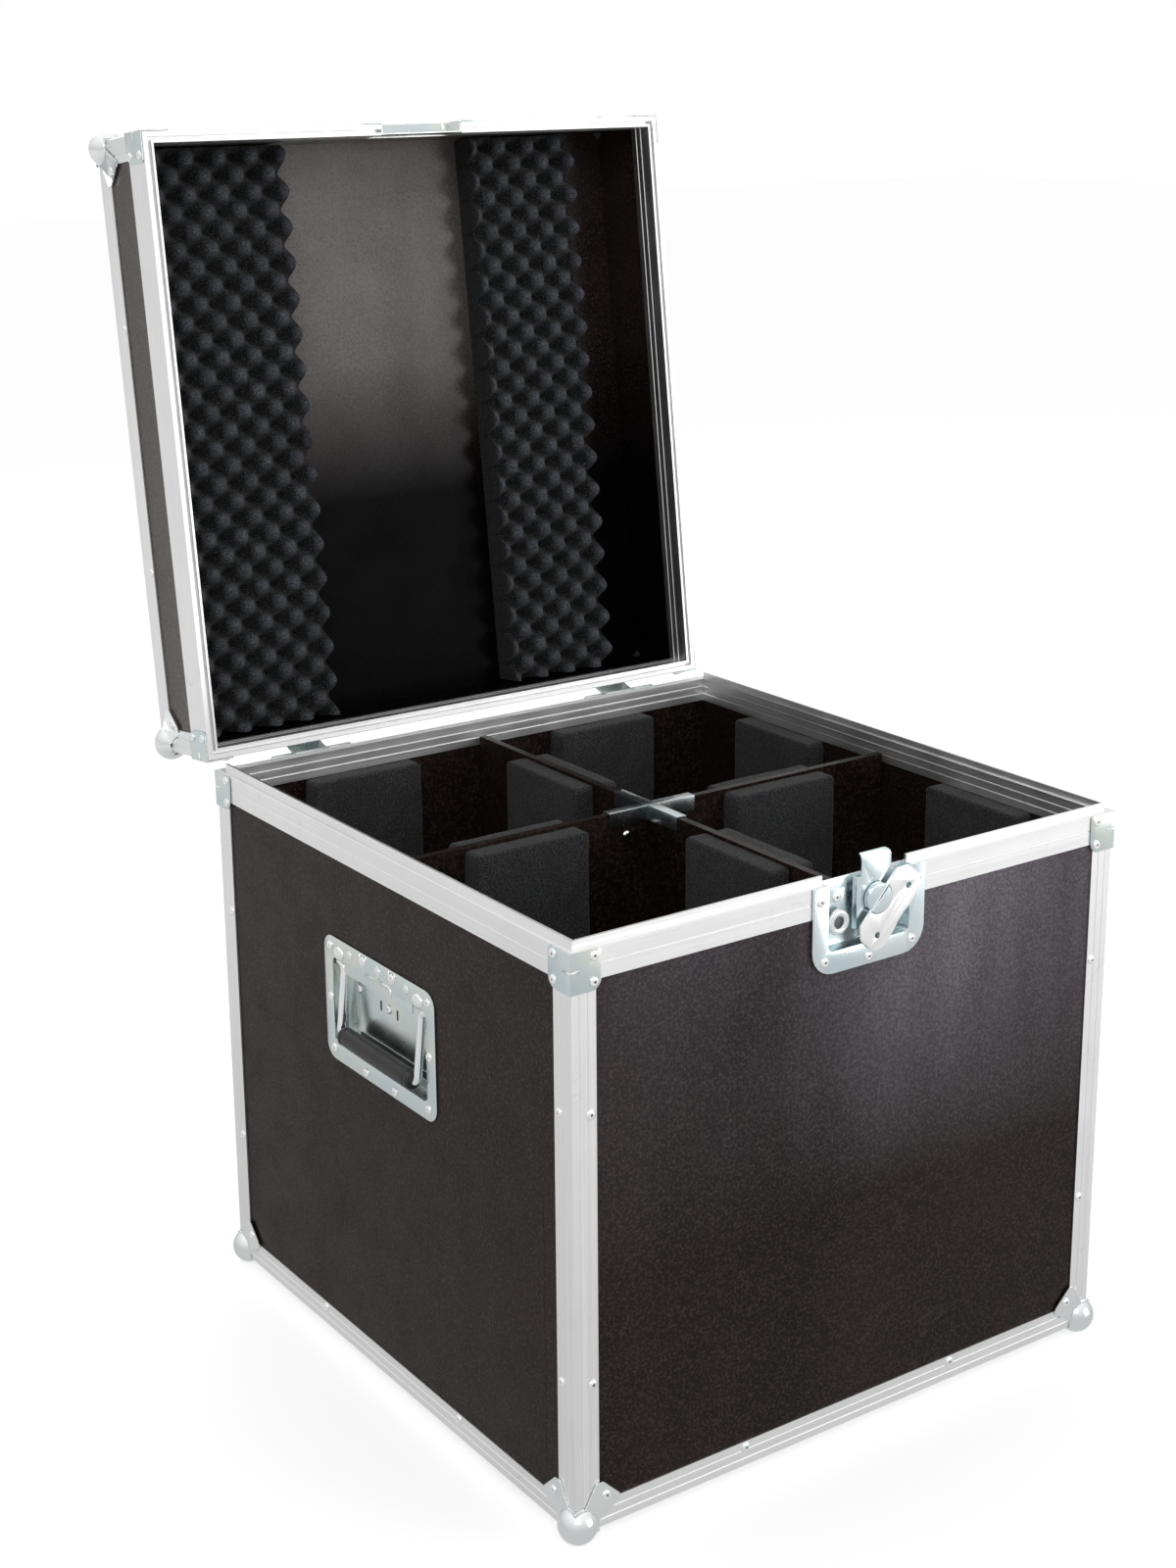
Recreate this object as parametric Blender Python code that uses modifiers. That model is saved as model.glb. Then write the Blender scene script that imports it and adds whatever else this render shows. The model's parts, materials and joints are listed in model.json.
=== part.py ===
"""Flight case with four padded bays, standing with its lid open. All sizes are in metres."""
import math

import bmesh
import bpy
from mathutils import Matrix, Vector

# Overall size of the box, measured over its aluminium edges
case_width = 0.545
case_depth = 0.547
base_height = 0.470
lid_height = 0.096

# Boards, edge angles and the gap between touching pieces
panel_thickness = 0.0068
edge_leg = 0.022
edge_wall = 0.0013
edge_rounding = 0.0007
groove_width = 0.0012
groove_depth = 0.0005
second_groove_depth = 0.0006
first_groove_place = 0.0065
second_groove_place = 0.0140
face_step = 0.0001
upright_overlap = 0.003
seat_gap = 0.0003
cut_overrun = 0.003
merge_distance = 0.00001

# Closing sections at the mouth of the base and of the lid
base_rim_leg = 0.025
inner_rim_leg = 0.022
rim_web = 0.0016
tongue_inset = 0.0050
tongue_width = 0.0026
tongue_height = 0.0060
tongue_taper = 0.0003
tongue_clearance = 0.0003

# Hinges at the rear: the pin stands off the back and below the mouth
hinge_inset = 0.100
hinge_width = 0.080
hinge_plate = 0.0015
hinge_plate_height = 0.046
pin_stand_off = 0.0090
pin_drop = 0.0047
pin_radius = 0.0019
barrel_radius = 0.0034
strap_thickness = 0.0018
strap_foot = 0.0100
middle_barrel_length = 0.034
bore_clearance = 0.0003
lid_open_angle = math.radians(97.1)

# Ball corners and mouth braces
ball_radius = 0.0156
ball_inset = 0.0063
corner_plate = 0.0012
petal_neck = 0.008
petal_root = 0.021
petal_shoulder = 0.019
petal_tip = 0.0245
petal_reach = 0.040
petal_rounding = 0.0022
brace_leg = 0.026
brace_height = 0.0325
brace_top_radius = 0.003
brace_foot_radius = 0.009

# Recessed spring handles on the left and right
handle_drop = 0.1496
handle_flange_width = 0.174
handle_flange_height = 0.110
handle_flange_radius = 0.013
dish_sheet = 0.0012
handle_border = 0.013
handle_mouth_low = 0.0402
handle_mouth_high = 0.0371
handle_lip_low = 0.0283
handle_lip_margin = 0.020
handle_lip_rounding = 0.0025
handle_mouth_radius = 0.006
handle_recess = 0.0135
handle_pivot_rise = 0.0328
handle_pivot_depth = 0.0051
bail_radius = 0.0035
bail_margin = 0.0128
bail_drop = 0.0607
bail_bend = 0.0062
bail_stub = 0.016
bail_lean = math.radians(6.0)
grip_radius = 0.0078
grip_end_gap = 0.0052
grip_end_rounding = 0.0015
dimple_radius = 0.0075
dimple_rise = 0.0018
dimple_lift = 0.0100

# Recessed turning latch at the front
latch_offset = 0.0055
latch_flange_width = 0.1136
latch_flange_height = 0.0722
latch_flange_radius = 0.021
flange_top_drop = 0.0005
latch_mouth_width = 0.082
latch_mouth_height = 0.0542
latch_mouth_radius = 0.005
latch_recess = 0.0102
mechanism_offset = 0.0081
spindle_drop = 0.0199
spindle_radius = 0.0123
spindle_front = 0.0045
spindle_back = 0.0006
spindle_chamfer = 0.0008
shaft_radius = 0.0040
fold_slot_width = 0.0026
fold_slot_floor = 0.0014
wing_front = 0.0034
wing_sheet = 0.0015
wing_half_length = 0.0352
wing_root_half = 0.0270
wing_shoulder = 0.0075
wing_reach = 0.0315
wing_corner_radius = 0.0118
wing_waist = 0.0014
wing_hole_radius = 0.0027
wing_hole_along = 0.0232
wing_hole_out = 0.0195
wing_rod_radius = 0.0009
wing_rod_bury = 0.004
wing_clearance = 0.0006
wing_angle = math.radians(48.0)

# Hook plate that the spindle lifts
hook_width = 0.030
hook_sheet = 0.0015
hook_depth = 0.0010
hook_top = 0.0173
hook_lip_reach = 0.0024
hook_lip_height = 0.0034
hook_bend = 0.0052
hook_lean = 0.0020
hook_corner_radius = 0.0050
carriage_half_width = 0.0190
carriage_top = 0.0010
carriage_bottom = 0.0430
carriage_depth = 0.0054
hook_travel_down = 0.0080
hook_travel_in = 0.0030
shaft_clearance = 0.0005

# Padlock eye beside the hook
eye_radius = 0.0100
eye_hole_radius = 0.0052
eye_thickness = 0.0030
eye_depth = 0.0020
eye_side = 0.0272
eye_drop = 0.0339
eye_stem = 0.0060
tab_width = 0.0190
tab_height = 0.0160
tab_drop = 0.0170
tab_sheet = 0.0020

# Keeper dish in the lid
keeper_flange_height = 0.038
keeper_flange_radius = 0.014
keeper_mouth_height = 0.026
keeper_recess = 0.0082
catch_height = 0.0030
catch_reach = 0.0022
catch_width = 0.040

# Dividers and the bracket over their crossing
divider_drop = 0.014
divider_relief = 0.0008
bracket_arm = 0.045
bracket_sheet = 0.0012
bracket_flange = 0.012

# Foam in the compartments and in the lid
floor_pad = 0.020
wall_pad_thickness = 0.020
wall_pad_width = 0.112
wall_pad_clearance = 0.002
wall_pad_rounding = 0.005
wall_pad_drop = 0.0024
crate_base = 0.016
crate_peak = 0.036
crate_pitch = 0.0323
crate_left_edge = -0.109
crate_right_edge = 0.0935
crate_right_margin = 0.054
crate_row_place = 0.004

# Counts
ring_sides = 32
ball_columns = 16
ball_rows = 10
arc_steps = 6
petal_arc_steps = 2
crate_steps_across = 4
crate_steps_along = 2

# Places that follow from the sizes
wall_inset = edge_wall + seat_gap
wall_inner = wall_inset + panel_thickness
rim_thickness = wall_inner + seat_gap + edge_wall
skirt_depth = tongue_height + tongue_clearance
lid_rim_leg = base_rim_leg + skirt_depth
divider_end = rim_thickness + seat_gap
ball_stand_off = ball_radius - ball_inset
pin_y = case_depth / 2 + pin_stand_off
pin_z = base_height - pin_drop
handle_height = base_height - handle_drop
handle_mouth_width = handle_flange_width - 2 * handle_border
handle_lip_width = handle_mouth_width - 2 * handle_lip_margin
bail_half_width = handle_mouth_width / 2 - bail_margin
grip_length = 2 * (bail_half_width - grip_end_gap)
catch_high = hook_top - hook_lip_height - hook_travel_down - 2 * seat_gap
bare_margin = petal_reach + seat_gap
mouth_z = base_height
lid_mouth = mouth_z + seat_gap

# Start from an empty file
for old in list(bpy.data.objects):
    bpy.data.objects.remove(old)


def collection(name):
    """A collection of the scene, made when first asked for."""
    found = bpy.data.collections.get(name)
    if found is None:
        found = bpy.data.collections.new(name)
        bpy.context.scene.collection.children.link(found)
    return found


parts = collection("lighting_flight_case")
cutters = collection("cutters")


def material(name, colour, roughness, metallic):
    """A Principled material with one colour."""
    made = bpy.data.materials.new(name)
    made.use_nodes = True
    shader = made.node_tree.nodes["Principled BSDF"]
    shader.inputs["Base Color"].default_value = (*colour, 1)
    shader.inputs["Roughness"].default_value = roughness
    shader.inputs["Metallic"].default_value = metallic
    made.diffuse_color = (*colour, 1)
    return made


film = material("brown_film_board", (0.035, 0.024, 0.022), 0.42, 0.0)
aluminium = material("aluminium", (0.80, 0.79, 0.77), 0.34, 1.0)
zinc = material("zinc_plated_steel", (0.62, 0.68, 0.68), 0.27, 1.0)
rubber = material("black_rubber", (0.022, 0.019, 0.018), 0.62, 0.0)
foam = material("charcoal_foam", (0.045, 0.047, 0.052), 0.96, 0.0)


def empty(name, parent, location, rotation=(0, 0, 0)):
    """An empty that carries pieces."""
    made = bpy.data.objects.new(name, None)
    parts.objects.link(made)
    made.parent = parent
    made.location = location
    made.rotation_euler = rotation
    return made


def from_bmesh(name, mesh_edit):
    """A new object that holds the edited mesh."""
    mesh = bpy.data.meshes.new(name)
    mesh_edit.to_mesh(mesh)
    mesh_edit.free()
    made = bpy.data.objects.new(name, mesh)
    parts.objects.link(made)
    return made


def cuboid(name, low, high):
    """A box between two opposite corners."""
    low, high = Vector(low), Vector(high)
    size = high - low
    edit = bmesh.new()
    bmesh.ops.create_cube(edit, size=1, matrix=Matrix.Translation((low + high) / 2) @ Matrix.Diagonal((*size, 1)))
    return from_bmesh(name, edit)


def rod(name, radius, start, end, sides=ring_sides):
    """A round bar from start to end."""
    start, end = Vector(start), Vector(end)
    along = end - start
    turn = along.to_track_quat("Z", "Y").to_matrix().to_4x4()
    edit = bmesh.new()
    bmesh.ops.create_cone(edit, cap_ends=True, segments=sides, radius1=radius, radius2=radius,
                          depth=along.length, matrix=Matrix.Translation((start + end) / 2) @ turn)
    return from_bmesh(name, edit)


def ball(name, radius, centre):
    """A ball."""
    edit = bmesh.new()
    bmesh.ops.create_uvsphere(edit, u_segments=ball_columns, v_segments=ball_rows, radius=radius,
                              matrix=Matrix.Translation(centre))
    return from_bmesh(name, edit)


def frozen_mesh(source):
    """The mesh of an object with its modifiers, its loose caps welded."""
    bpy.context.view_layer.update()
    evaluated = source.evaluated_get(bpy.context.evaluated_depsgraph_get())
    mesh = bpy.data.meshes.new_from_object(evaluated)
    if source.type == "CURVE":
        edit = bmesh.new()
        edit.from_mesh(mesh)
        bmesh.ops.remove_doubles(edit, verts=edit.verts, dist=seat_gap / 100)
        edit.to_mesh(mesh)
        edit.free()
    return mesh


def freeze(source):
    """The object as a plain mesh, with its curve or its modifiers' tools removed."""
    mesh = frozen_mesh(source)
    made = bpy.data.objects.new(source.name, mesh)
    made.matrix_world = source.matrix_world
    parts.objects.link(made)
    name = source.name
    for tool in list(source.children):
        bpy.data.objects.remove(tool)
    bpy.data.objects.remove(source)
    made.name = name
    return made


def curve_object(name, points, flat, cyclic):
    """A curve with straight stretches through the points."""
    curve = bpy.data.curves.new(name, "CURVE")
    curve.dimensions = "2D" if flat else "3D"
    spline = curve.splines.new("POLY")
    spline.points.add(len(points) - 1)
    for target, point in zip(spline.points, points):
        target.co = (*point, 0, 1) if len(point) == 2 else (*point, 1)
    spline.use_cyclic_u = cyclic
    made = bpy.data.objects.new(name, curve)
    parts.objects.link(made)
    return made


def slab(name, outline, low, high):
    """A flat outline in X and Y made solid from height low to height high."""
    shape = curve_object(name, outline, flat=True, cyclic=True)
    shape.data.fill_mode = "BOTH"
    shape.data.extrude = (high - low) / 2
    made = freeze(shape)
    made.data.transform(Matrix.Translation((0, 0, (high + low) / 2)))
    return made


def slab_along_x(name, outline, start, end):
    """An outline in Y and Z made solid along X from start to end."""
    piece = slab(name, outline, start, end)
    piece.data.transform(Matrix(((0, 0, 1, 0), (1, 0, 0, 0), (0, 1, 0, 0), (0, 0, 0, 1))))
    return piece


def ring_of_section(name, section, width, depth):
    """Four mitred lengths of a section round a rectangle; section X runs inward and Y up."""
    guide = curve_object(name + "_section", section[::-1], flat=True, cyclic=True)
    x, y = width / 2, depth / 2
    path = curve_object(name, [(-x, -y), (x, -y), (x, y), (-x, y)], flat=True, cyclic=True)
    path.data.bevel_mode = "OBJECT"
    path.data.bevel_object = guide
    made = freeze(path)
    bpy.data.objects.remove(guide)
    return made


def rounded(corners, steps=arc_steps):
    """An outline through corners (x, y, radius), turned the left way round, with arcs at the corners."""
    points = []
    for index, (x, y, radius) in enumerate(corners):
        here = Vector((x, y))
        if radius == 0:
            points.append((x, y))
            continue
        back = (Vector(corners[index - 1][:2]) - here).normalized()
        ahead = (Vector(corners[(index + 1) % len(corners)][:2]) - here).normalized()
        half = math.acos(max(-1, min(1, back.dot(ahead)))) / 2
        centre = here + (back + ahead).normalized() * radius / math.sin(half)
        first = here + back * radius / math.tan(half) - centre
        last = here + ahead * radius / math.tan(half) - centre
        sweep = first.angle_signed(last)
        for step in range(steps + 1):
            turned = first.copy()
            turned.rotate(Matrix.Rotation(-sweep * step / steps, 2))
            points.append(tuple(centre + turned))
    return points


def carry(part, tool, operation):
    """Cut the tool out of the part or join it on; the tool rides on the part."""
    tool.parent = part
    tool.hide_render = True
    tool.display_type = "WIRE"
    parts.objects.unlink(tool)
    cutters.objects.link(tool)
    modifier = part.modifiers.new(operation.lower(), "BOOLEAN")
    modifier.operation = operation
    modifier.solver = "EXACT"
    modifier.object = tool


def cut(part, *tools):
    """Take each tool away from the part."""
    for tool in tools:
        carry(part, tool, "DIFFERENCE")


def join(part, *tools):
    """Make each tool one with the part."""
    for tool in tools:
        carry(part, tool, "UNION")


def finish(part, name, skin, parent, location=(0, 0, 0), rotation=(0, 0, 0), smooth=None):
    """Name, colour and place a piece."""
    part.name = name
    part.data.name = name
    part.data.materials.clear()
    part.data.materials.append(skin)
    part.parent = parent
    part.location = location
    part.rotation_euler = rotation
    if smooth is not None:
        part.data.shade_smooth()
        part.data.set_sharp_from_angle(angle=math.radians(smooth))
    return part


def copies(prototype, skin, places, smooth=None):
    """One object for each place (name, parent, location, rotation), sharing the prototype's shape."""
    mesh = frozen_mesh(prototype)
    for tool in list(prototype.children):
        bpy.data.objects.remove(tool)
    bpy.data.objects.remove(prototype)
    for name, parent, location, rotation in places:
        made = bpy.data.objects.new(name, mesh)
        parts.objects.link(made)
        finish(made, name, skin, parent, location, rotation, smooth)
        mesh.name = "shared_" + name


# Root of the case, the lid's hinge line and the faces that carry fittings
def lid_extent():
    """How far the open lid's ball corners reach behind the middle of the base."""
    reach = []
    for front in (True, False):
        y = -case_depth / 2 + ball_inset if front else case_depth / 2 - ball_inset
        arm = Vector((0, y - pin_y, base_height + lid_height - ball_inset - pin_z))
        arm.rotate(Matrix.Rotation(-lid_open_angle, 3, "X"))
        reach.append(pin_y + arm.y + ball_radius)
    return max(reach)


front_extent = -case_depth / 2 - ball_stand_off
origin_shift = -(front_extent + lid_extent()) / 2
case = empty("case_frame", None, (0, origin_shift, ball_stand_off))
lid = empty("lid_hinge_line", case, (0, pin_y, pin_z), (-lid_open_angle, 0, 0))
upright_turn = math.pi / 2


def in_lid(x, y, z):
    """A place given for the shut lid, as seen from the hinge line."""
    return (x, y - pin_y, z - pin_z)


# Boards of the base and of the lid
def raise_field(board, low, high):
    """The bare field of a board: the seats that the angles and fittings press on lie a hair below it."""
    join(board, cuboid("bare_field", low, high))


def wall_boards(prefix, parent, low, high, offset):
    """Four upright boards between two heights, the side ones running past the ends of the others."""
    x_out, y_out = case_width / 2 - wall_inset, case_depth / 2 - wall_inset
    x_in, y_in = x_out - panel_thickness, y_out - panel_thickness
    spans = {
        "front": ((-x_in + seat_gap, -y_out, low), (x_in - seat_gap, -y_in, high)),
        "rear": ((-x_in + seat_gap, y_in, low), (x_in - seat_gap, y_out, high)),
        "left": ((-x_out, -y_out, low), (-x_in, y_out, high)),
        "right": ((x_in, -y_out, low), (x_out, y_out, high)),
    }
    made = {}
    for side, (corner, opposite) in spans.items():
        board = cuboid(prefix + side, corner, opposite)
        made[side] = finish(board, f"{prefix}_{side}_panel", film, parent, offset)
    return made


def floor_board(name, parent, low, offset):
    """A level board that fills the box."""
    x, y = case_width / 2 - wall_inset, case_depth / 2 - wall_inset
    board = cuboid(name, (-x, -y, low), (x, y, low + panel_thickness))
    return finish(board, name, film, parent, offset)


lid_offset = in_lid(0, 0, 0)
board_low = wall_inner + seat_gap
base_board_high = base_height - rim_web - seat_gap
base_boards = wall_boards("base", case, board_low, base_board_high, (0, 0, 0))
bare_x, bare_y = case_width / 2 - bare_margin, case_depth / 2 - bare_margin
field_x, field_y = case_width / 2 - wall_inset + face_step, case_depth / 2 - wall_inset + face_step
core_x, core_y = field_x - panel_thickness / 2, field_y - panel_thickness / 2
latch_bare = base_height - latch_flange_height - seat_gap
hinge_bare = base_height - hinge_plate_height - seat_gap
handle_bare = handle_height - handle_flange_height / 2 - seat_gap
raise_field(base_boards["front"], (-bare_x, -field_y, bare_margin), (bare_x, -core_y, latch_bare))
raise_field(base_boards["rear"], (-bare_x, core_y, bare_margin), (bare_x, field_y, hinge_bare))
raise_field(base_boards["left"], (-field_x, -bare_y, bare_margin), (-core_x, bare_y, handle_bare))
raise_field(base_boards["right"], (core_x, -bare_y, bare_margin), (field_x, bare_y, handle_bare))
bottom_board = floor_board("base_bottom_panel", case, wall_inset, (0, 0, 0))
raise_field(bottom_board, (-bare_x, -bare_y, wall_inset - face_step), (bare_x, bare_y, wall_inner - panel_thickness / 2))
lid_board_low = lid_mouth + skirt_depth + rim_web + seat_gap
lid_top = mouth_z + lid_height
lid_boards = wall_boards("lid", lid, lid_board_low, lid_top - board_low, lid_offset)
top_board = floor_board("lid_top_panel", lid, lid_top - wall_inner, lid_offset)
raise_field(top_board, (-bare_x, -bare_y, lid_top - wall_inner + panel_thickness / 2),
            (bare_x, bare_y, lid_top - wall_inset + face_step))


# Aluminium edge angles
def grooved_leg(length):
    """Points along the outside of a leg from its corner to its end: (along, depth)."""
    points = []
    for place, deep in ((first_groove_place, groove_depth), (second_groove_place, second_groove_depth)):
        points += [(place, 0), (place + groove_depth, deep), (place + groove_width - groove_depth, deep),
                   (place + groove_width, 0)]
    return points + [(length, 0)]


def angle_section():
    """Equal angle with its corner at the origin, legs along +X and +Y, turned the left way round."""
    leg = grooved_leg(edge_leg)
    below = [(edge_rounding, 0)] + leg
    beside = [(depth, along) for along, depth in reversed(leg)] + [(0, edge_rounding)]
    return below + [(edge_leg, edge_wall), (edge_wall, edge_wall), (edge_wall, edge_leg)] + beside


bottom_frame = ring_of_section("base_bottom_frame", angle_section(), case_width, case_depth)
finish(bottom_frame, "base_bottom_frame", aluminium, case)

upright = slab("upright", angle_section(), edge_leg + seat_gap, base_height - base_rim_leg - seat_gap)
half_width, half_depth = case_width / 2, case_depth / 2
corner_places = {
    "front_left": (-half_width, -half_depth, 0.0),
    "front_right": (half_width, -half_depth, math.pi / 2),
    "rear_right": (half_width, half_depth, math.pi),
    "rear_left": (-half_width, half_depth, -math.pi / 2),
}
copies(upright, aluminium, [(f"base_{corner}_edge", case, (x, y, 0), (0, 0, turn))
                            for corner, (x, y, turn) in corner_places.items()])


def lid_edge_frame():
    """Top edges and corner edges of the lid, riveted into one frame."""
    flipped = [(x, -y) for x, y in angle_section()][::-1]
    frame = ring_of_section("lid_edge_frame", flipped, case_width, case_depth)
    frame.data.transform(Matrix.Translation((0, 0, lid_top)))
    low = lid_mouth + lid_rim_leg + seat_gap
    high = lid_top - edge_leg + upright_overlap
    for x, y, turn in corner_places.values():
        inset = [(a + face_step, b + face_step) for a, b in angle_section()]
        corner = slab("lid_corner", inset, low, high)
        corner.data.transform(Matrix.Translation((x, y, 0)) @ Matrix.Rotation(turn, 4, "Z"))
        join(frame, corner)
    return finish(freeze(frame), "lid_edge_frame", aluminium, lid, lid_offset)


lid_edge_frame()


# Closing sections at the mouth
def rim_outside(leg, reach):
    """Outer side of a rim leg from its free end to the mouth: (inset, drop from the board)."""
    groove = reach / 2
    return [(0, leg), (0, groove + groove_width), (groove_depth, groove + groove_width - groove_depth),
            (groove_depth, groove + groove_depth), (0, groove)]


def rim_inside(drop):
    """Inner side of a rim with two grooves: (inset, drop), from the mouth down."""
    points = []
    for place in (first_groove_place, second_groove_place):
        points += [(rim_thickness, drop + place), (rim_thickness - groove_depth, drop + place + groove_depth),
                   (rim_thickness - groove_depth, drop + place + groove_width - groove_depth),
                   (rim_thickness, drop + place + groove_width)]
    return points


def base_rim_section():
    """Tongued section round the base's mouth; heights are measured down from the mouth."""
    tongue_end = tongue_inset + tongue_width
    outline = rim_outside(base_rim_leg, base_rim_leg) + [
        (0, edge_rounding), (edge_rounding, 0), (tongue_inset, 0), (tongue_inset + tongue_taper, -tongue_height),
        (tongue_end - tongue_taper, -tongue_height), (tongue_end, 0), (rim_thickness, 0)]
    outline += rim_inside(0)
    outline += [(rim_thickness, inner_rim_leg), (rim_thickness - edge_wall, inner_rim_leg),
                (rim_thickness - edge_wall, rim_web), (edge_wall, rim_web), (edge_wall, base_rim_leg)]
    return [(inset, base_height - drop) for inset, drop in outline][::-1]


def lid_rim_section():
    """Grooved section round the lid's mouth; heights are measured up from the mouth."""
    low = tongue_inset - tongue_clearance
    high = tongue_inset + tongue_width + tongue_clearance
    web = skirt_depth + rim_web
    outline = rim_outside(lid_rim_leg, lid_rim_leg) + [
        (0, edge_rounding), (edge_rounding, 0), (low, 0), (low, skirt_depth), (high, skirt_depth), (high, 0),
        (rim_thickness, 0)]
    outline += rim_inside(skirt_depth)
    inner_end = skirt_depth + inner_rim_leg
    outline += [(rim_thickness, inner_end), (rim_thickness - edge_wall, inner_end),
                (rim_thickness - edge_wall, web), (edge_wall, web), (edge_wall, lid_rim_leg)]
    return [(inset, lid_mouth + rise) for inset, rise in outline]


base_rim = ring_of_section("base_rim", base_rim_section(), case_width, case_depth)
finish(base_rim, "base_rim", aluminium, case)
lid_rim = ring_of_section("lid_rim", lid_rim_section(), case_width, case_depth)
finish(lid_rim, "lid_rim", aluminium, lid, lid_offset)


# Ball corners: three petals on three faces round a ball
def ball_corner():
    """A corner piece for a box that lies on the positive side of all three planes."""
    outer = -(seat_gap + corner_plate)
    soft = petal_rounding
    petal = rounded([(outer, outer, 0), (petal_root, outer, 0), (petal_root, petal_neck, 0),
                     (petal_reach, petal_shoulder, soft), (petal_reach, petal_tip, soft),
                     (petal_tip, petal_reach, soft), (petal_shoulder, petal_reach, soft),
                     (petal_neck, petal_root, 0), (outer, petal_root, 0)], petal_arc_steps)
    piece = ball("ball_corner", ball_radius, (ball_inset, ball_inset, ball_inset))
    for axis, turn in (("z", Matrix.Identity(4)),
                       ("x", Matrix(((0, 0, 1, 0), (1, 0, 0, 0), (0, 1, 0, 0), (0, 0, 0, 1)))),
                       ("y", Matrix(((0, 1, 0, 0), (0, 0, 1, 0), (1, 0, 0, 0), (0, 0, 0, 1))))):
        leaf = slab("petal_" + axis, petal, outer, cut_overrun)
        leaf.data.transform(turn)
        join(piece, leaf)
    far = petal_reach + cut_overrun
    cut(piece, cuboid("corner_of_box", (-seat_gap,) * 3, (far,) * 3))
    return piece


ball_places = []
for corner, (x, y, turn) in corner_places.items():
    ball_places.append((f"base_{corner}_ball_corner", case, (x, y, 0), (0, 0, turn)))
    ball_places.append((f"lid_{corner}_ball_corner", lid, in_lid(x, y, lid_top), (math.pi, 0, turn + upright_turn)))
copies(ball_corner(), zinc, ball_places, smooth=35)


# Braces over the mitres of the mouth
def mouth_brace():
    """A bent plate for a box corner that lies on the positive side of X and Y; its top is at height zero."""
    outer = -(seat_gap + corner_plate)
    outline = rounded([(outer, -brace_height, 0), (brace_leg, -brace_height, brace_foot_radius),
                       (brace_leg, -flange_top_drop, brace_top_radius), (outer, -flange_top_drop, 0)])
    along_x = slab("brace_x", outline, -cut_overrun, -outer)
    along_x.data.transform(Matrix.Rotation(math.pi / 2, 4, "X"))
    along_y = slab("brace_y", outline, outer, cut_overrun)
    along_y.data.transform(Matrix(((0, 0, 1, 0), (1, 0, 0, 0), (0, 1, 0, 0), (0, 0, 0, 1))))
    join(along_x, along_y)
    far = brace_leg + cut_overrun
    cut(along_x, cuboid("corner_of_box", (-seat_gap, -seat_gap, -far - brace_height), (far, far, far)))
    return along_x


brace_places = []
for corner, (x, y, turn) in corner_places.items():
    brace_places.append((f"base_{corner}_brace", case, (x, y, base_height), (0, 0, turn)))
    brace_places.append((f"lid_{corner}_brace", lid, in_lid(x, y, lid_mouth),
                         (math.pi, 0, turn + upright_turn)))
copies(mouth_brace(), zinc, brace_places)


# Recessed dishes: X along the face, Y up it and Z outward, with zero at the aluminium's outer face
def rectangle(left, low, right, high, low_radius, high_radius):
    """A rectangle with round corners."""
    return rounded([(left, low, low_radius), (right, low, low_radius), (right, high, high_radius),
                    (left, high, high_radius)])


def handle_window(grow):
    """Outline of the handle's tray, grown by a margin."""
    side = handle_mouth_width / 2 + grow
    radius = handle_mouth_radius + grow
    return rectangle(-side, -handle_mouth_low - grow, side, handle_mouth_high + grow, radius, radius)


def handle_mouth():
    """Outline of the opening in the flange: the tray's, less the lip that hangs between the bail's arms."""
    side, low, top = handle_mouth_width / 2 - face_step, face_step - handle_mouth_low, handle_mouth_high - face_step
    lip, soft, corner = handle_lip_width / 2, handle_lip_rounding, handle_mouth_radius
    return rounded([(-side, low, corner), (side, low, corner), (side, top, corner), (lip, top, soft),
                    (lip, handle_lip_low, soft), (-lip, handle_lip_low, soft), (-lip, top, soft),
                    (-side, top, corner)])


def handle_dish():
    """Sheet dish with a flange on the board and a tray that the bail folds into."""
    flange_back = -(wall_inset - seat_gap)
    flange_front = flange_back + dish_sheet
    x, y = handle_flange_width / 2, handle_flange_height / 2
    dish = slab("handle_dish", rectangle(-x, -y, x, y, handle_flange_radius, handle_flange_radius),
                flange_back, flange_front)
    join(dish, slab("tray", handle_window(dish_sheet), -handle_recess - dish_sheet, flange_front - dish_sheet / 2))
    for side in (-1, 1):
        centre = (side * bail_half_width, handle_pivot_rise + dimple_lift, flange_front - dimple_radius + dimple_rise)
        dimple = ball("dimple", dimple_radius, centre)
        cut(dimple, cuboid("below_flange", (centre[0] - dimple_radius, centre[1] - dimple_radius, -handle_recess),
                           (centre[0] + dimple_radius, centre[1] + dimple_radius, flange_front - dish_sheet / 2)))
        join(dish, freeze(dimple))
    cut(dish, slab("tray_hollow", handle_window(0), -handle_recess, flange_back),
        slab("mouth", handle_mouth(), flange_back - dish_sheet, cut_overrun))
    reach = handle_flange_width / 2
    cut(dish, rod("pivot_holes", bail_radius + bore_clearance, (-reach, handle_pivot_rise, -handle_pivot_depth),
                  (reach, handle_pivot_rise, -handle_pivot_depth)))
    return dish


handle_faces = {
    "left": ((-half_width, 0, handle_height), (upright_turn, 0, -upright_turn)),
    "right": ((half_width, 0, handle_height), (upright_turn, 0, upright_turn)),
}
copies(handle_dish(), zinc, [(f"{side}_handle_dish", case, place, turn)
                             for side, (place, turn) in handle_faces.items()])

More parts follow.
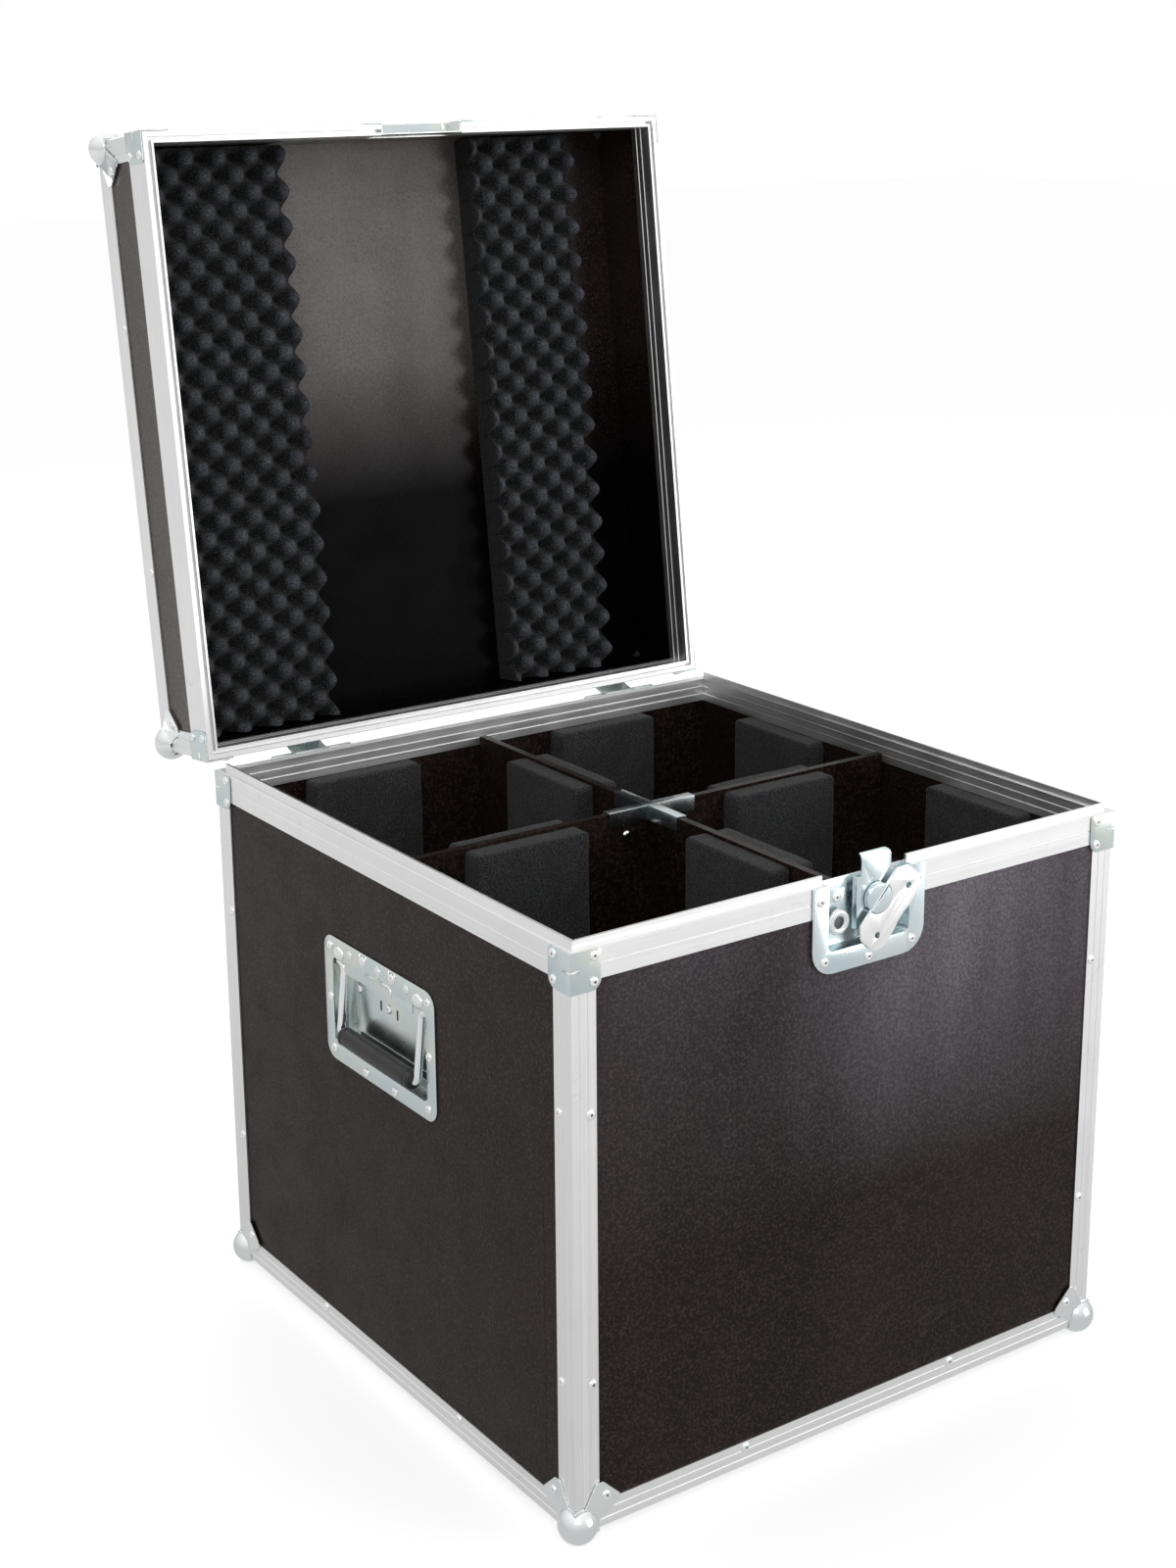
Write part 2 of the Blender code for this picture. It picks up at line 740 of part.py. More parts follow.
stub_end = bail_half_width + bail_stub
for side in ("left", "right"):
    place, turn = handle_faces[side]
    window = slab("handle_window", handle_window(dish_sheet + seat_gap), -handle_recess, cut_overrun)
    window.data.transform(Matrix.LocRotScale(Vector(place), Matrix.Rotation(turn[2], 3, "Z")
                                             @ Matrix.Rotation(turn[0], 3, "X"), None))
    cut(base_boards[side], window)
    reach = stub_end + seat_gap
    relief = bail_radius + bore_clearance
    centre_x = place[0] + math.copysign(handle_pivot_depth, -place[0])
    pivot_z = handle_height + handle_pivot_rise
    cut(base_boards[side], cuboid("stub_relief", (centre_x - panel_thickness, -reach, pivot_z - relief),
                                  (centre_x + panel_thickness, reach, pivot_z + relief)))


# Handle bails and grips; the origin of each is on its pivot
def bend(centre, start_angle, radius):
    """Quarter turn of a bail in its own plane, points on the wire's centre line."""
    return [(centre[0] + radius * math.cos(start_angle + math.pi / 2 * step / arc_steps),
             centre[1] + radius * math.sin(start_angle + math.pi / 2 * step / arc_steps), 0)
            for step in range(arc_steps + 1)]


def bail():
    """Bent bar: pivot stubs, two arms and the cross bar, hanging down from the pivot."""
    side, low, r = bail_half_width, -bail_drop, bail_bend
    upper = bend((side + r, -r), math.pi / 2, r)
    lower = bend((side - r, low + r), -math.pi / 2, r)[::-1]
    half = [(stub_end, 0, 0)] + upper + lower
    other = [(-x, y, z) for x, y, z in reversed(half)]
    wire = curve_object("bail", half + other, flat=False, cyclic=False)
    wire.data.bevel_depth = bail_radius
    wire.data.bevel_resolution = 2
    wire.data.use_fill_caps = True
    return freeze(wire)


def grip():
    """Rubber sleeve over the cross bar."""
    half = grip_length / 2
    sleeve = rod("grip", grip_radius, (-half, -bail_drop, 0), (half, -bail_drop, 0), sides=24)
    soften = sleeve.modifiers.new("soft_ends", "BEVEL")
    soften.width = grip_end_rounding
    soften.segments = 2
    soften.limit_method = "ANGLE"
    cut(sleeve, rod("bore", bail_radius + bore_clearance, (-grip_length, -bail_drop, 0),
                    (grip_length, -bail_drop, 0), sides=16))
    return sleeve


bail_places, grip_places = [], []
for side, (place, turn) in handle_faces.items():
    inward = math.copysign(handle_pivot_depth, -place[0])
    pivot = (place[0] + inward, 0, handle_height + handle_pivot_rise)
    hinge_line = empty(f"{side}_handle_pivot", case, pivot, (turn[0] - bail_lean, turn[1], turn[2]))
    bail_places.append((f"{side}_handle_bail", hinge_line, (0, 0, 0), (0, 0, 0)))
    grip_places.append((f"{side}_handle_grip", hinge_line, (0, 0, 0), (0, 0, 0)))
copies(bail(), zinc, bail_places, smooth=40)
copies(grip(), rubber, grip_places, smooth=40)

# Latch dish, with the spindle's place as the middle of its mechanism
front_turn = (upright_turn, 0, 0)
latch_face = (latch_offset, -half_depth, base_height)
spindle_place = (mechanism_offset, -spindle_drop)


def open_tray(name, mouth_height, recess, flange_outline, up):
    """Flanged dish that is open toward the mouth; up is 1 for the base's and -1 for the lid's."""
    side = latch_mouth_width / 2
    dish = slab(name, flange_outline, seat_gap, seat_gap + dish_sheet)
    radius = latch_mouth_radius

    def tray(grow, end):
        low, high = sorted((-up * (mouth_height + grow), up * end))
        low_radius, high_radius = (radius + grow, 0) if up > 0 else (0, radius + grow)
        return rectangle(-side - grow, low, side + grow, high, low_radius, high_radius)

    join(dish, slab("tray", tray(dish_sheet, -flange_top_drop), -recess - dish_sheet, seat_gap + dish_sheet / 2))
    cut(dish, slab("hollow", tray(0, cut_overrun), -recess, dish_sheet + cut_overrun))
    return dish


def latch_dish():
    """Dish of the latch with its padlock eye and the tab above it."""
    x = latch_flange_width / 2
    flange = rectangle(-x, -latch_flange_height, x, -flange_top_drop, latch_flange_radius, edge_rounding)
    dish = open_tray("latch_dish", latch_mouth_height, latch_recess, flange, 1)
    bury = dish_sheet / 2
    eye = rod("eye", eye_radius, (-eye_side, -eye_drop, -eye_depth - eye_thickness),
              (-eye_side, -eye_drop, -eye_depth), sides=24)
    stem_x, stem_y = eye_side + eye_radius - eye_stem / 2, eye_drop + eye_radius - eye_stem / 2
    stem = cuboid("eye_stem", (-eye_side - eye_stem / 2, -stem_y - eye_stem / 2, -latch_recess - bury),
                  (-eye_side + eye_stem / 2, -stem_y + eye_stem / 2, -eye_depth - eye_thickness / 2))
    tab = cuboid("eye_tab", (-eye_side - tab_width / 2, -tab_drop - tab_height / 2, -latch_recess - bury),
                 (-eye_side + tab_width / 2, -tab_drop + tab_height / 2, -latch_recess + tab_sheet))
    join(dish, eye, stem, tab)
    cut(dish, rod("eye_hole", eye_hole_radius, (-eye_side, -eye_drop, -latch_recess / 2 - eye_thickness),
                  (-eye_side, -eye_drop, cut_overrun), sides=20))
    return dish


finish(freeze(latch_dish()), "latch_dish", zinc, case, latch_face, front_turn)


def keeper_dish():
    """Dish in the lid with the catch that the hook pulls on; heights run up from the lid's mouth."""
    x = latch_flange_width / 2
    flange = rectangle(-x, flange_top_drop, x, keeper_flange_height, edge_rounding, keeper_flange_radius)
    dish = open_tray("keeper_dish", keeper_mouth_height, keeper_recess, flange, -1)
    middle = mechanism_offset
    join(dish, cuboid("catch", (middle - catch_width / 2, catch_high - catch_height, -keeper_recess - dish_sheet / 2),
                      (middle + catch_width / 2, catch_high, -keeper_recess + catch_reach)))
    return dish


keeper_face = in_lid(latch_offset, -half_depth, lid_mouth)
finish(freeze(keeper_dish()), "keeper_dish", zinc, lid, keeper_face, front_turn)

window_side = latch_mouth_width / 2 + dish_sheet + seat_gap
window_low = base_height - latch_mouth_height - dish_sheet - seat_gap
window_high = lid_mouth + keeper_mouth_height + dish_sheet + seat_gap
window_back = -half_depth + rim_thickness + cut_overrun
for target, low, high in ((base_rim, window_low, mouth_z + tongue_height + cut_overrun),
                          (base_boards["front"], window_low, mouth_z + cut_overrun),
                          (lid_rim, mouth_z - cut_overrun, window_high),
                          (lid_boards["front"], mouth_z - cut_overrun, window_high)):
    cut(target, cuboid("latch_window", (latch_offset - window_side, -half_depth - cut_overrun, low),
                       (latch_offset + window_side, window_back, high)))

# The tongue stops short of the rear, where the lid's groove swings down past it
tongue_back = half_depth - tongue_inset - tongue_width - seat_gap
cut(base_rim, cuboid("rear_tongue_gap", (-half_width - cut_overrun, tongue_back, mouth_z + face_step),
                     (half_width + cut_overrun, half_depth + cut_overrun, mouth_z + tongue_height + cut_overrun)))

# Spindle, wing and hook
latch_axis = empty("latch_axis", case, (latch_offset + mechanism_offset, -half_depth, base_height - spindle_drop),
                   front_turn)


def spindle():
    """Turned head with a slot for the wing's rod and a shaft down to the dish."""
    back = -(latch_recess - seat_gap)
    profile = [(0, spindle_front), (spindle_radius - spindle_chamfer, spindle_front),
               (spindle_radius, spindle_front - spindle_chamfer), (spindle_radius, -spindle_back),
               (shaft_radius, -spindle_back), (shaft_radius, back), (0, back)]
    edit = bmesh.new()
    ring = [edit.verts.new((radius, 0, height)) for radius, height in profile]
    for first, second in zip(ring, ring[1:]):
        edit.edges.new((first, second))
    head = from_bmesh("spindle", edit)
    turned = head.modifiers.new("turned", "SCREW")
    turned.axis = "Z"
    turned.angle = 2 * math.pi
    turned.steps = ring_sides
    turned.render_steps = ring_sides
    turned.use_merge_vertices = True
    turned.merge_threshold = merge_distance
    slot = cuboid("fold_slot", (-spindle_radius - cut_overrun, -fold_slot_width / 2, fold_slot_floor),
                  (spindle_radius + cut_overrun, fold_slot_width / 2, spindle_front + cut_overrun))
    slot.data.transform(Matrix.Rotation(wing_angle, 4, "Z"))
    cut(head, slot)
    return head


finish(freeze(spindle()), "latch_spindle", zinc, latch_axis, smooth=40)


def wing():
    """Folding wing: X along its rod, Y out from it, Z outward with the rod's centre at zero."""
    x, reach, r = wing_half_length, wing_reach, wing_corner_radius
    low = -wing_rod_radius
    waist = reach - wing_waist
    root, shoulder, soft = wing_root_half, wing_shoulder, wing_rod_radius / 2
    dent = x - 2 * r
    outline = rounded([(-root, low, soft), (root, low, soft), (x, shoulder, r / 2), (x, reach, r),
                       (dent, reach, 0), (dent / 2, waist, 0), (-dent / 2, waist, 0), (-dent, reach, 0),
                       (-x, reach, r), (-x, shoulder, r / 2)])
    plate = slab("wing", outline, -wing_sheet / 2, wing_sheet / 2)
    cut(plate, rod("round_spindle", spindle_radius + wing_clearance, (0, 0, -wing_sheet), (0, 0, wing_sheet)))
    for side in (-1, 1):
        cut(plate, rod("finger_hole", wing_hole_radius, (side * wing_hole_along, wing_hole_out, -wing_sheet),
                       (side * wing_hole_along, wing_hole_out, wing_sheet), sides=16))
    bar = spindle_radius + wing_clearance + wing_rod_bury
    join(plate, rod("fold_rod", wing_rod_radius, (-bar, 0, 0), (bar, 0, 0), sides=12))
    return plate


wing_depth = wing_front - wing_sheet / 2
fold_line = empty("wing_fold_line", latch_axis, (0, 0, wing_depth), (math.pi, 0, wing_angle))
finish(freeze(wing()), "latch_wing", zinc, fold_line)


def hook():
    """Hook plate with a lip at its top and a channel that slides in the dish, from the spindle's centre."""
    top, half = hook_top + spindle_drop, hook_width / 2
    front = -hook_depth
    back = front - hook_sheet
    neck = spindle_drop - carriage_top
    low = spindle_drop - carriage_bottom
    lip_back, lip_low = back - hook_lip_reach, top - hook_lip_height
    side = [(0, back), (lip_low, back), (lip_low, lip_back), (top, lip_back), (top, front - hook_lean),
            (top - hook_bend, front), (0, front)]
    plate = slab_along_x("hook", side, -half, half)
    outline = rounded([(-half, 0, 0), (half, 0, 0), (half, top, hook_corner_radius),
                       (-half, top, hook_corner_radius / arc_steps)])
    carry(plate, slab("front_outline", outline, lip_back - cut_overrun, cut_overrun), "INTERSECT")
    plate = freeze(plate)
    x = carriage_half_width
    channel_back = front - carriage_depth
    channel = cuboid("channel", (-x, low, channel_back), (x, neck, front - face_step))
    cut(channel, cuboid("channel_hollow", (-x + hook_sheet, low - cut_overrun, channel_back - cut_overrun),
                        (x - hook_sheet, neck + cut_overrun, back - face_step)))
    join(plate, freeze(channel))
    slot = shaft_radius + shaft_clearance
    outline = rounded([(-slot, -slot, slot / 2), (slot, -slot, slot / 2), (slot, slot + hook_travel_down, slot / 2),
                       (-slot, slot + hook_travel_down, slot / 2)])
    cut(plate, slab("shaft_slot", outline, back - carriage_depth, front + cut_overrun))
    return plate


finish(freeze(hook()), "latch_hook", zinc, latch_axis)


# Hinges: sections in Y and Z, from the rear face and the mouth
def strap(name, foot_z, start, end):
    """Slanting web from a hinge plate to the pin."""
    foot = Vector((seat_gap + hinge_plate / 2, foot_z))
    pin = Vector((pin_stand_off, -pin_drop))
    along = (pin - foot).normalized()
    side = Vector((-along.y, along.x)) * strap_thickness / 2
    outline = [tuple(foot - side), tuple(pin - side), tuple(pin + side), tuple(foot + side)]
    return slab_along_x(name, outline, start, end)


def base_hinge_leaf():
    """Plate on the base's back with two barrels and the pin."""
    half, middle = hinge_width / 2, middle_barrel_length / 2
    plate_top = -edge_rounding
    leaf = cuboid("base_leaf", (-half, seat_gap, -hinge_plate_height), (half, seat_gap + hinge_plate, plate_top))
    for start, end in ((-half, -middle - seat_gap), (middle + seat_gap, half)):
        join(leaf, strap("base_strap", -strap_foot, start, end))
        join(leaf, rod("base_barrel", barrel_radius, (start, pin_stand_off, -pin_drop),
                       (end, pin_stand_off, -pin_drop), sides=16))
    reach = half - edge_rounding
    join(leaf, rod("pin", pin_radius, (-reach, pin_stand_off, -pin_drop), (reach, pin_stand_off, -pin_drop), sides=16))
    return leaf


def lid_hinge_leaf():
    """Plate on the lid's back with the middle barrel and the heel that stops the lid, from the pin."""
    half, middle = hinge_width / 2, middle_barrel_length / 2
    low = strap_foot
    leaf = cuboid("lid_leaf", (-half, seat_gap, low), (half, seat_gap + hinge_plate, hinge_plate_height))
    join(leaf, strap("lid_strap", low + strap_thickness, -middle, middle))
    join(leaf, rod("lid_barrel", barrel_radius, (-middle, pin_stand_off, -pin_drop), (middle, pin_stand_off, -pin_drop),
                   sides=16))
    heel = pin_stand_off - hinge_plate - 2 * seat_gap
    heel_half = strap_thickness / 2
    join(leaf, cuboid("heel", (-middle + edge_rounding, pin_stand_off - heel_half, -pin_drop - heel),
                      (middle - edge_rounding, pin_stand_off + heel_half, -pin_drop)))
    cut(leaf, rod("bore", pin_radius + bore_clearance, (-half, pin_stand_off, -pin_drop),
                  (half, pin_stand_off, -pin_drop), sides=16))
    leaf = freeze(leaf)
    leaf.data.transform(Matrix.Translation((0, -pin_stand_off, pin_drop)))
    return leaf


hinge_x = {"left": hinge_inset - half_width, "right": half_width - hinge_inset}
copies(base_hinge_leaf(), zinc, [(f"base_{side}_hinge_leaf", case, (x, half_depth, base_height), (0, 0, 0))
                                 for side, x in hinge_x.items()], smooth=40)
copies(lid_hinge_leaf(), zinc, [(f"lid_{side}_hinge_leaf", lid, (x, 0, 0), (0, 0, 0))
                                for side, x in hinge_x.items()], smooth=40)

# Crossed dividers, halved into each other
divider_low = wall_inner + seat_gap
divider_high = base_height - divider_drop
divider_middle = (divider_low + divider_high) / 2
half_board = panel_thickness / 2
x_end, y_end = half_width - divider_end, half_depth - divider_end
slot_half = half_board + seat_gap
across = cuboid("across", (-x_end, -half_board, divider_low), (x_end, half_board, divider_high))
cut(across, cuboid("halving", (-slot_half, -panel_thickness, divider_middle - seat_gap / 2),
                   (slot_half, panel_thickness, divider_high + cut_overrun)))
handle_back = handle_recess + dish_sheet + divider_relief
for side in (-1, 1):
    inner, outer = sorted((side * (half_width - handle_back), side * half_width))
    cut(across, cuboid("handle_relief", (inner, -panel_thickness, handle_height - handle_mouth_low - dish_sheet
                                         - divider_relief),
                       (outer, panel_thickness, handle_height + handle_mouth_high + dish_sheet + divider_relief)))
finish(across, "cross_divider", film, case)

along = cuboid("along", (-half_board, -y_end, divider_low), (half_board, y_end, divider_high))
cut(along, cuboid("halving", (-panel_thickness, -slot_half, divider_low - cut_overrun),
                  (panel_thickness, slot_half, divider_middle + seat_gap / 2)))
cut(along, cuboid("latch_relief", (-panel_thickness, -half_depth, window_low - divider_relief),
                  (panel_thickness, -half_depth + latch_recess + dish_sheet + divider_relief,
                   divider_high + cut_overrun)))
finish(along, "long_divider", film, case)


def cross_bracket():
    """Folded cap over the crossing: four arms with a flange down each side."""
    inner = half_board + seat_gap
    outer = inner + bracket_sheet
    top = divider_high + seat_gap + bracket_sheet
    low = top - bracket_sheet - bracket_flange
    cap = cuboid("bracket", (-bracket_arm, -outer, low), (bracket_arm, outer, top))
    join(cap, cuboid("other_arms", (-outer, -bracket_arm, low), (outer, bracket_arm, top)))
    reach = bracket_arm + cut_overrun
    roof = top - bracket_sheet
    cut(cap, cuboid("slot_x", (-reach, -inner, low - cut_overrun), (reach, inner, roof)),
        cuboid("slot_y", (-inner, -reach, low - cut_overrun), (inner, reach, roof)))
    return cap


finish(freeze(cross_bracket()), "divider_cross_bracket", zinc, case)


# Foam in the four compartments
def foam_liner(side_x, side_y):
    """Floor pad with a pad at the middle of each wall."""
    x_near, y_near = half_board + seat_gap, half_board + seat_gap
    x_far, y_far = half_width - board_low, half_depth - board_low
    low = wall_inner + seat_gap
    liner = cuboid("liner", (x_near, y_near, low), (x_far, y_far, low + floor_pad))
    foot = low + floor_pad / 2
    wall_top = base_height - inner_rim_leg - seat_gap
    divider_top = divider_high - wall_pad_drop
    x_middle, y_middle = (x_near + x_far) / 2, (y_near + y_far) / 2
    half, deep = wall_pad_width / 2, wall_pad_thickness
    side_start = max(y_middle - half, stub_end + wall_pad_clearance)
    side_end = min(side_start + wall_pad_width, y_far - deep - wall_pad_clearance)
    for low_corner, high_corner in (
            ((x_middle - half, y_near, foot), (x_middle + half, y_near + deep, divider_top)),
            ((x_middle - half, y_far - deep, foot), (x_middle + half, y_far, wall_top)),
            ((x_near, y_middle - half, foot), (x_near + deep, y_middle + half, divider_top)),
            ((x_far - deep, side_start, foot), (x_far, side_end, wall_top))):
        pad = cuboid("pad", low_corner, high_corner)
        soften = pad.modifiers.new("soft_edges", "BEVEL")
        soften.width = wall_pad_rounding
        soften.segments = 2
        join(liner, pad)
    liner = freeze(liner)
    liner.data.transform(Matrix.Diagonal((side_x, side_y, 1, 1)))
    if side_x * side_y < 0:
        liner.data.flip_normals()
    return liner


for side_x, side_y, name in ((-1, -1, "front_left"), (1, -1, "front_right"), (-1, 1, "rear_left"),
                             (1, 1, "rear_right")):
    finish(foam_liner(side_x, side_y), f"{name}_foam_liner", foam, case)


# Convoluted foam strips in the lid
def crate_places(start, end, peak, step):
    """Places a step apart, counted from a peak, with the strip's own two ends."""
    first, last = math.floor((start - peak) / step), math.ceil((end - peak) / step)
    return [min(max(peak + count * step, start), end) for count in range(first, last + 1)]


def crate_foam(left, right, inner_edge):
    """Strip with staggered rounded peaks, the product of two cosines, one row of peaks on its inner edge."""
    half_length = case_depth / 2 - rim_thickness - seat_gap
    mean, swing = (crate_peak + crate_base) / 2, (crate_peak - crate_base) / 2
    edit = bmesh.new()
    rows = []
    for y in crate_places(-half_length, half_length, crate_row_place, crate_pitch / crate_steps_along):
        wave_y = math.cos(2 * math.pi * (y - crate_row_place) / crate_pitch)
        row = []
        for x in crate_places(left, right, inner_edge, crate_pitch / crate_steps_across):
            wave_x = math.cos(2 * math.pi * (x - inner_edge) / crate_pitch)
            row.append(edit.verts.new((x, y, -mean - swing * wave_x * wave_y)))
        rows.append(row)
    for near, far in zip(rows, rows[1:]):
        for corners in zip(near, near[1:], far[1:], far):
            edit.faces.new(corners)
    border = [edge for edge in edit.edges if edge.is_boundary]
    walls = bmesh.ops.extrude_edge_only(edit, edges=border)["geom"]
    for item in walls:
        if isinstance(item, bmesh.types.BMVert):
            item.co.z = 0
    bmesh.ops.contextual_create(edit, geom=[edge for edge in edit.edges if edge.is_boundary])
    bmesh.ops.recalc_face_normals(edit, faces=edit.faces)
    strip = from_bmesh("crate", edit)
    strip.data.transform(Matrix.Translation((0, 0, lid_top - wall_inner - seat_gap)))
    return strip


rim_inner = half_width - rim_thickness - seat_gap
finish(crate_foam(-rim_inner, crate_left_edge, crate_left_edge), "lid_left_crate_foam", foam, lid, lid_offset)
finish(crate_foam(crate_right_edge, rim_inner - crate_right_margin, crate_right_edge), "lid_right_crate_foam", foam,
       lid, lid_offset)
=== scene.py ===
# %% [markdown]
# # A flight case with its lid open
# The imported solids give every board, edge and fitting its true place. This file dresses them:
# it adds the rivets, pressings and foam that are too fine or too soft for the solids, and gives
# each surface a material worked out from numbers. The frame is loaded first, because every
# piece that follows takes its place from it.

# %% The frame and its sizes
import json
import math

import bmesh
import bpy
import numpy as np
from mathutils import Matrix, Vector


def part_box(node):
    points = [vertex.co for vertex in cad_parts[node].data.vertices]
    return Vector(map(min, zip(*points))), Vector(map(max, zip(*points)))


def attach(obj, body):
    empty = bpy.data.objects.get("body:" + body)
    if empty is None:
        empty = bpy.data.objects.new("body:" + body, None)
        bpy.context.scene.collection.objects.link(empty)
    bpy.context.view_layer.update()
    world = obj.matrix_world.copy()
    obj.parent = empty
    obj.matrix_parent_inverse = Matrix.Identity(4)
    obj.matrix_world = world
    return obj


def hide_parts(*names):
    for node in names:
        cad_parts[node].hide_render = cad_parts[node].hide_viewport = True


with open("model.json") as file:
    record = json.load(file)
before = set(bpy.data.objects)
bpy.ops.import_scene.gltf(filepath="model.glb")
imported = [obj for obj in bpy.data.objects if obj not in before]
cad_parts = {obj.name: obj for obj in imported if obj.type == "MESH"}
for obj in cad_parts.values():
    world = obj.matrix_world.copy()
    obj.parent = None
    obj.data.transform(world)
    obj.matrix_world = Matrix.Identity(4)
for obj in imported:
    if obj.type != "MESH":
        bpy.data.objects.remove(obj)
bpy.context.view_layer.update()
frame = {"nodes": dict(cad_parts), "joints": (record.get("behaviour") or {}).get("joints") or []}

# %% [markdown]
# ## Two sets of coordinates
# A case maker measures from the box's own corners, so two small helpers turn such measures into
# the scene's. The base stands square to the world. The lid has swung about its pin, so a place
# measured with the lid shut is turned about that pin by the angle it was opened.

# %% From the case's measures to the scene's
foot_low, foot_high = (np.array(corner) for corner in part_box("base_bottom_frame"))
width, depth = foot_high[0] - foot_low[0], foot_high[1] - foot_low[1]
base_height = 0.470
lid_height = 0.096
mouth_gap = 0.0003
open_angle = math.radians(97.1)
pin = np.array(next(joint["pos_m"] for joint in frame["joints"] if joint["name"] == "lid_hinge"))
case_to_scene = Matrix.Translation(Vector((foot_low + foot_high) / 2 * (1, 1, 0) + foot_low * (0, 0, 1)))
swing = Matrix.Translation(Vector(pin)) @ Matrix.Rotation(-open_angle, 4, "X") @ Matrix.Translation(-Vector(pin))
lid_to_scene = swing @ case_to_scene
half_width, half_depth = width / 2, depth / 2
lid_top = base_height + lid_height
lid_mouth = base_height + mouth_gap
print("case", round(width, 4), "by", round(depth, 4), "pin at", pin.round(4))

# %% [markdown]
# ## The camera
# It stands in front of the case, to the left and a little above, and looks down at it. The place
# was worked out from the box's straight edges: all edges that run the same way on the real box
# have to meet in one far point of the picture.

# %% Camera
def in_scene(name, data):
    """A new object in the scene, with these data."""
    made = bpy.data.objects.new(name, data)
    bpy.context.scene.collection.objects.link(made)
    return made


picture_height = 1600
focal_pixels = 2416.4
middle_pixels = (600.0, 800.0)
axis_pixels = (569.1, 718.7)
camera_corner_offset = Vector((-0.87977, -1.27634, 1.07777))
yaw, pitch, roll = (math.radians(angle) for angle in (34.33, 15.41, -0.63))
sensor_height = 32.0

ahead = Vector((math.sin(yaw) * math.cos(pitch), math.cos(yaw) * math.cos(pitch), -math.sin(pitch)))
level = Vector((math.cos(yaw), -math.sin(yaw), 0))
above = level.cross(ahead)
right = math.cos(roll) * level + math.sin(roll) * above
up = -math.sin(roll) * level + math.cos(roll) * above
camera_data = bpy.data.cameras.new("camera")
camera_data.sensor_fit = "VERTICAL"
camera_data.sensor_height = sensor_height
camera_data.lens = focal_pixels / picture_height * sensor_height
camera_data.shift_x = (middle_pixels[0] - axis_pixels[0]) / picture_height
camera_data.shift_y = (axis_pixels[1] - middle_pixels[1]) / picture_height
camera = in_scene("camera", camera_data)
place = Vector(foot_low) + camera_corner_offset
camera.matrix_world = Matrix((right, up, -ahead)).transposed().to_4x4()
camera.matrix_world.translation = place
bpy.context.scene.camera = camera
print("lens", round(camera_data.lens, 2), "mm, camera at", tuple(round(c, 3) for c in place))

# %% [markdown]
# ## Surfaces from arrays
# Nearly every small fitting here is a stack of closed rings of points: a rivet is a profile spun
# round its axis, a bar is a circle carried along a path, a pressed plate is one outline drawn in
# step by step. So one function skins a stack of rings and closes it with a point at each end,
# and the shapes are worked out as whole arrays. A fitting that comes many times is computed
# once and multiplied by an array of placing matrices.

# %% Rings to a closed skin
def quads_of(index):
    """The four point numbers round every cell of a grid of point numbers, index[i, j]."""
    return np.stack([index[:-1, :-1], index[:-1, 1:], index[1:, 1:], index[1:, :-1]], -1).reshape(-1, 4)


def outward(points, quads, triangles=np.zeros((0, 3), int)):
    """The shape with its faces turned outward: they are reversed where the volume they enclose, the sum of
    a . (b x c) over all triangles, comes out negative."""
    corner = points[triangles]
    a, b, c, d = (points[quads[:, i]] for i in range(4))
    volume = np.einsum("ij,ij->", corner[:, 0], np.cross(corner[:, 1], corner[:, 2]))
    volume += np.einsum("ij,ij->", a, np.cross(b, c)) + np.einsum("ij,ij->", a, np.cross(c, d))
    if volume < 0:
        quads, triangles = quads[:, ::-1], triangles[:, ::-1]
    return points, quads, triangles


def skin_of(rings, first=None, last=None):
    """Points and faces of a closed skin over rings[k, n]: quads between neighbouring rings, and a fan to a
    middle point at each end, which is the mean of the end ring unless it is given."""
    count, around = rings.shape[:2]
    first = rings[0].mean(axis=0) if first is None else first
    last = rings[-1].mean(axis=0) if last is None else last
    points = np.vstack([rings.reshape(-1, 3), first, last])
    index = np.pad(np.arange(count * around).reshape(count, around), ((0, 0), (0, 1)), mode="wrap")
    foot, top = np.full(around, count * around), np.full(around, count * around + 1)
    fans = [np.stack([foot, index[0, 1:], index[0, :-1]], -1), np.stack([top, index[-1, :-1], index[-1, 1:]], -1)]
    return outward(points, quads_of(index), np.vstack(fans))


def plate_of(front, back):
    """A closed plate between two grids of points, front[i, j] and back[i, j], with walls round its border."""
    rows, columns = front.shape[:2]
    index = np.arange(rows * columns).reshape(rows, columns)
    face = quads_of(index)
    border = np.concatenate([index[0, :-1], index[:-1, -1], index[-1, :0:-1], index[:0:-1, 0]])
    ahead_of = np.roll(border, -1)
    shift = rows * columns
    walls = np.stack([border, border + shift, ahead_of + shift, ahead_of], -1)
    points = np.vstack([front.reshape(-1, 3), back.reshape(-1, 3)])
    return outward(points, np.vstack([face, face[:, ::-1] + shift, walls]))


def placed(shape, matrices):
    """One shape put at every matrix: point p becomes M p, and the faces are renumbered for each copy."""
    points, quads, triangles = shape
    matrices = np.array([np.array(matrix) for matrix in matrices])
    moved = np.einsum("mij,nj->mni", matrices[:, :3, :3], points) + matrices[:, None, :3, 3]
    steps = np.arange(len(matrices))[:, None, None] * len(points)
    return moved.reshape(-1, 3), (quads[None] + steps).reshape(-1, 4), (triangles[None] + steps).reshape(-1, 3)


def together(*shapes):
    """Several shapes as one, each one's faces renumbered past those before it."""
    starts = np.cumsum([0] + [len(shape[0]) for shape in shapes[:-1]])
    return (np.vstack([shape[0] for shape in shapes]),
            np.vstack([shape[1] + start for shape, start in zip(shapes, starts)]),
            np.vstack([shape[2] + start for shape, start in zip(shapes, starts)]))


def mesh_of(name, shape):
    """A mesh with the points and faces of a shape."""
    points, quads, triangles = shape
    mesh = bpy.data.meshes.new(name)
    mesh.from_pydata(points.tolist(), [], quads.tolist() + triangles.tolist())
    return mesh


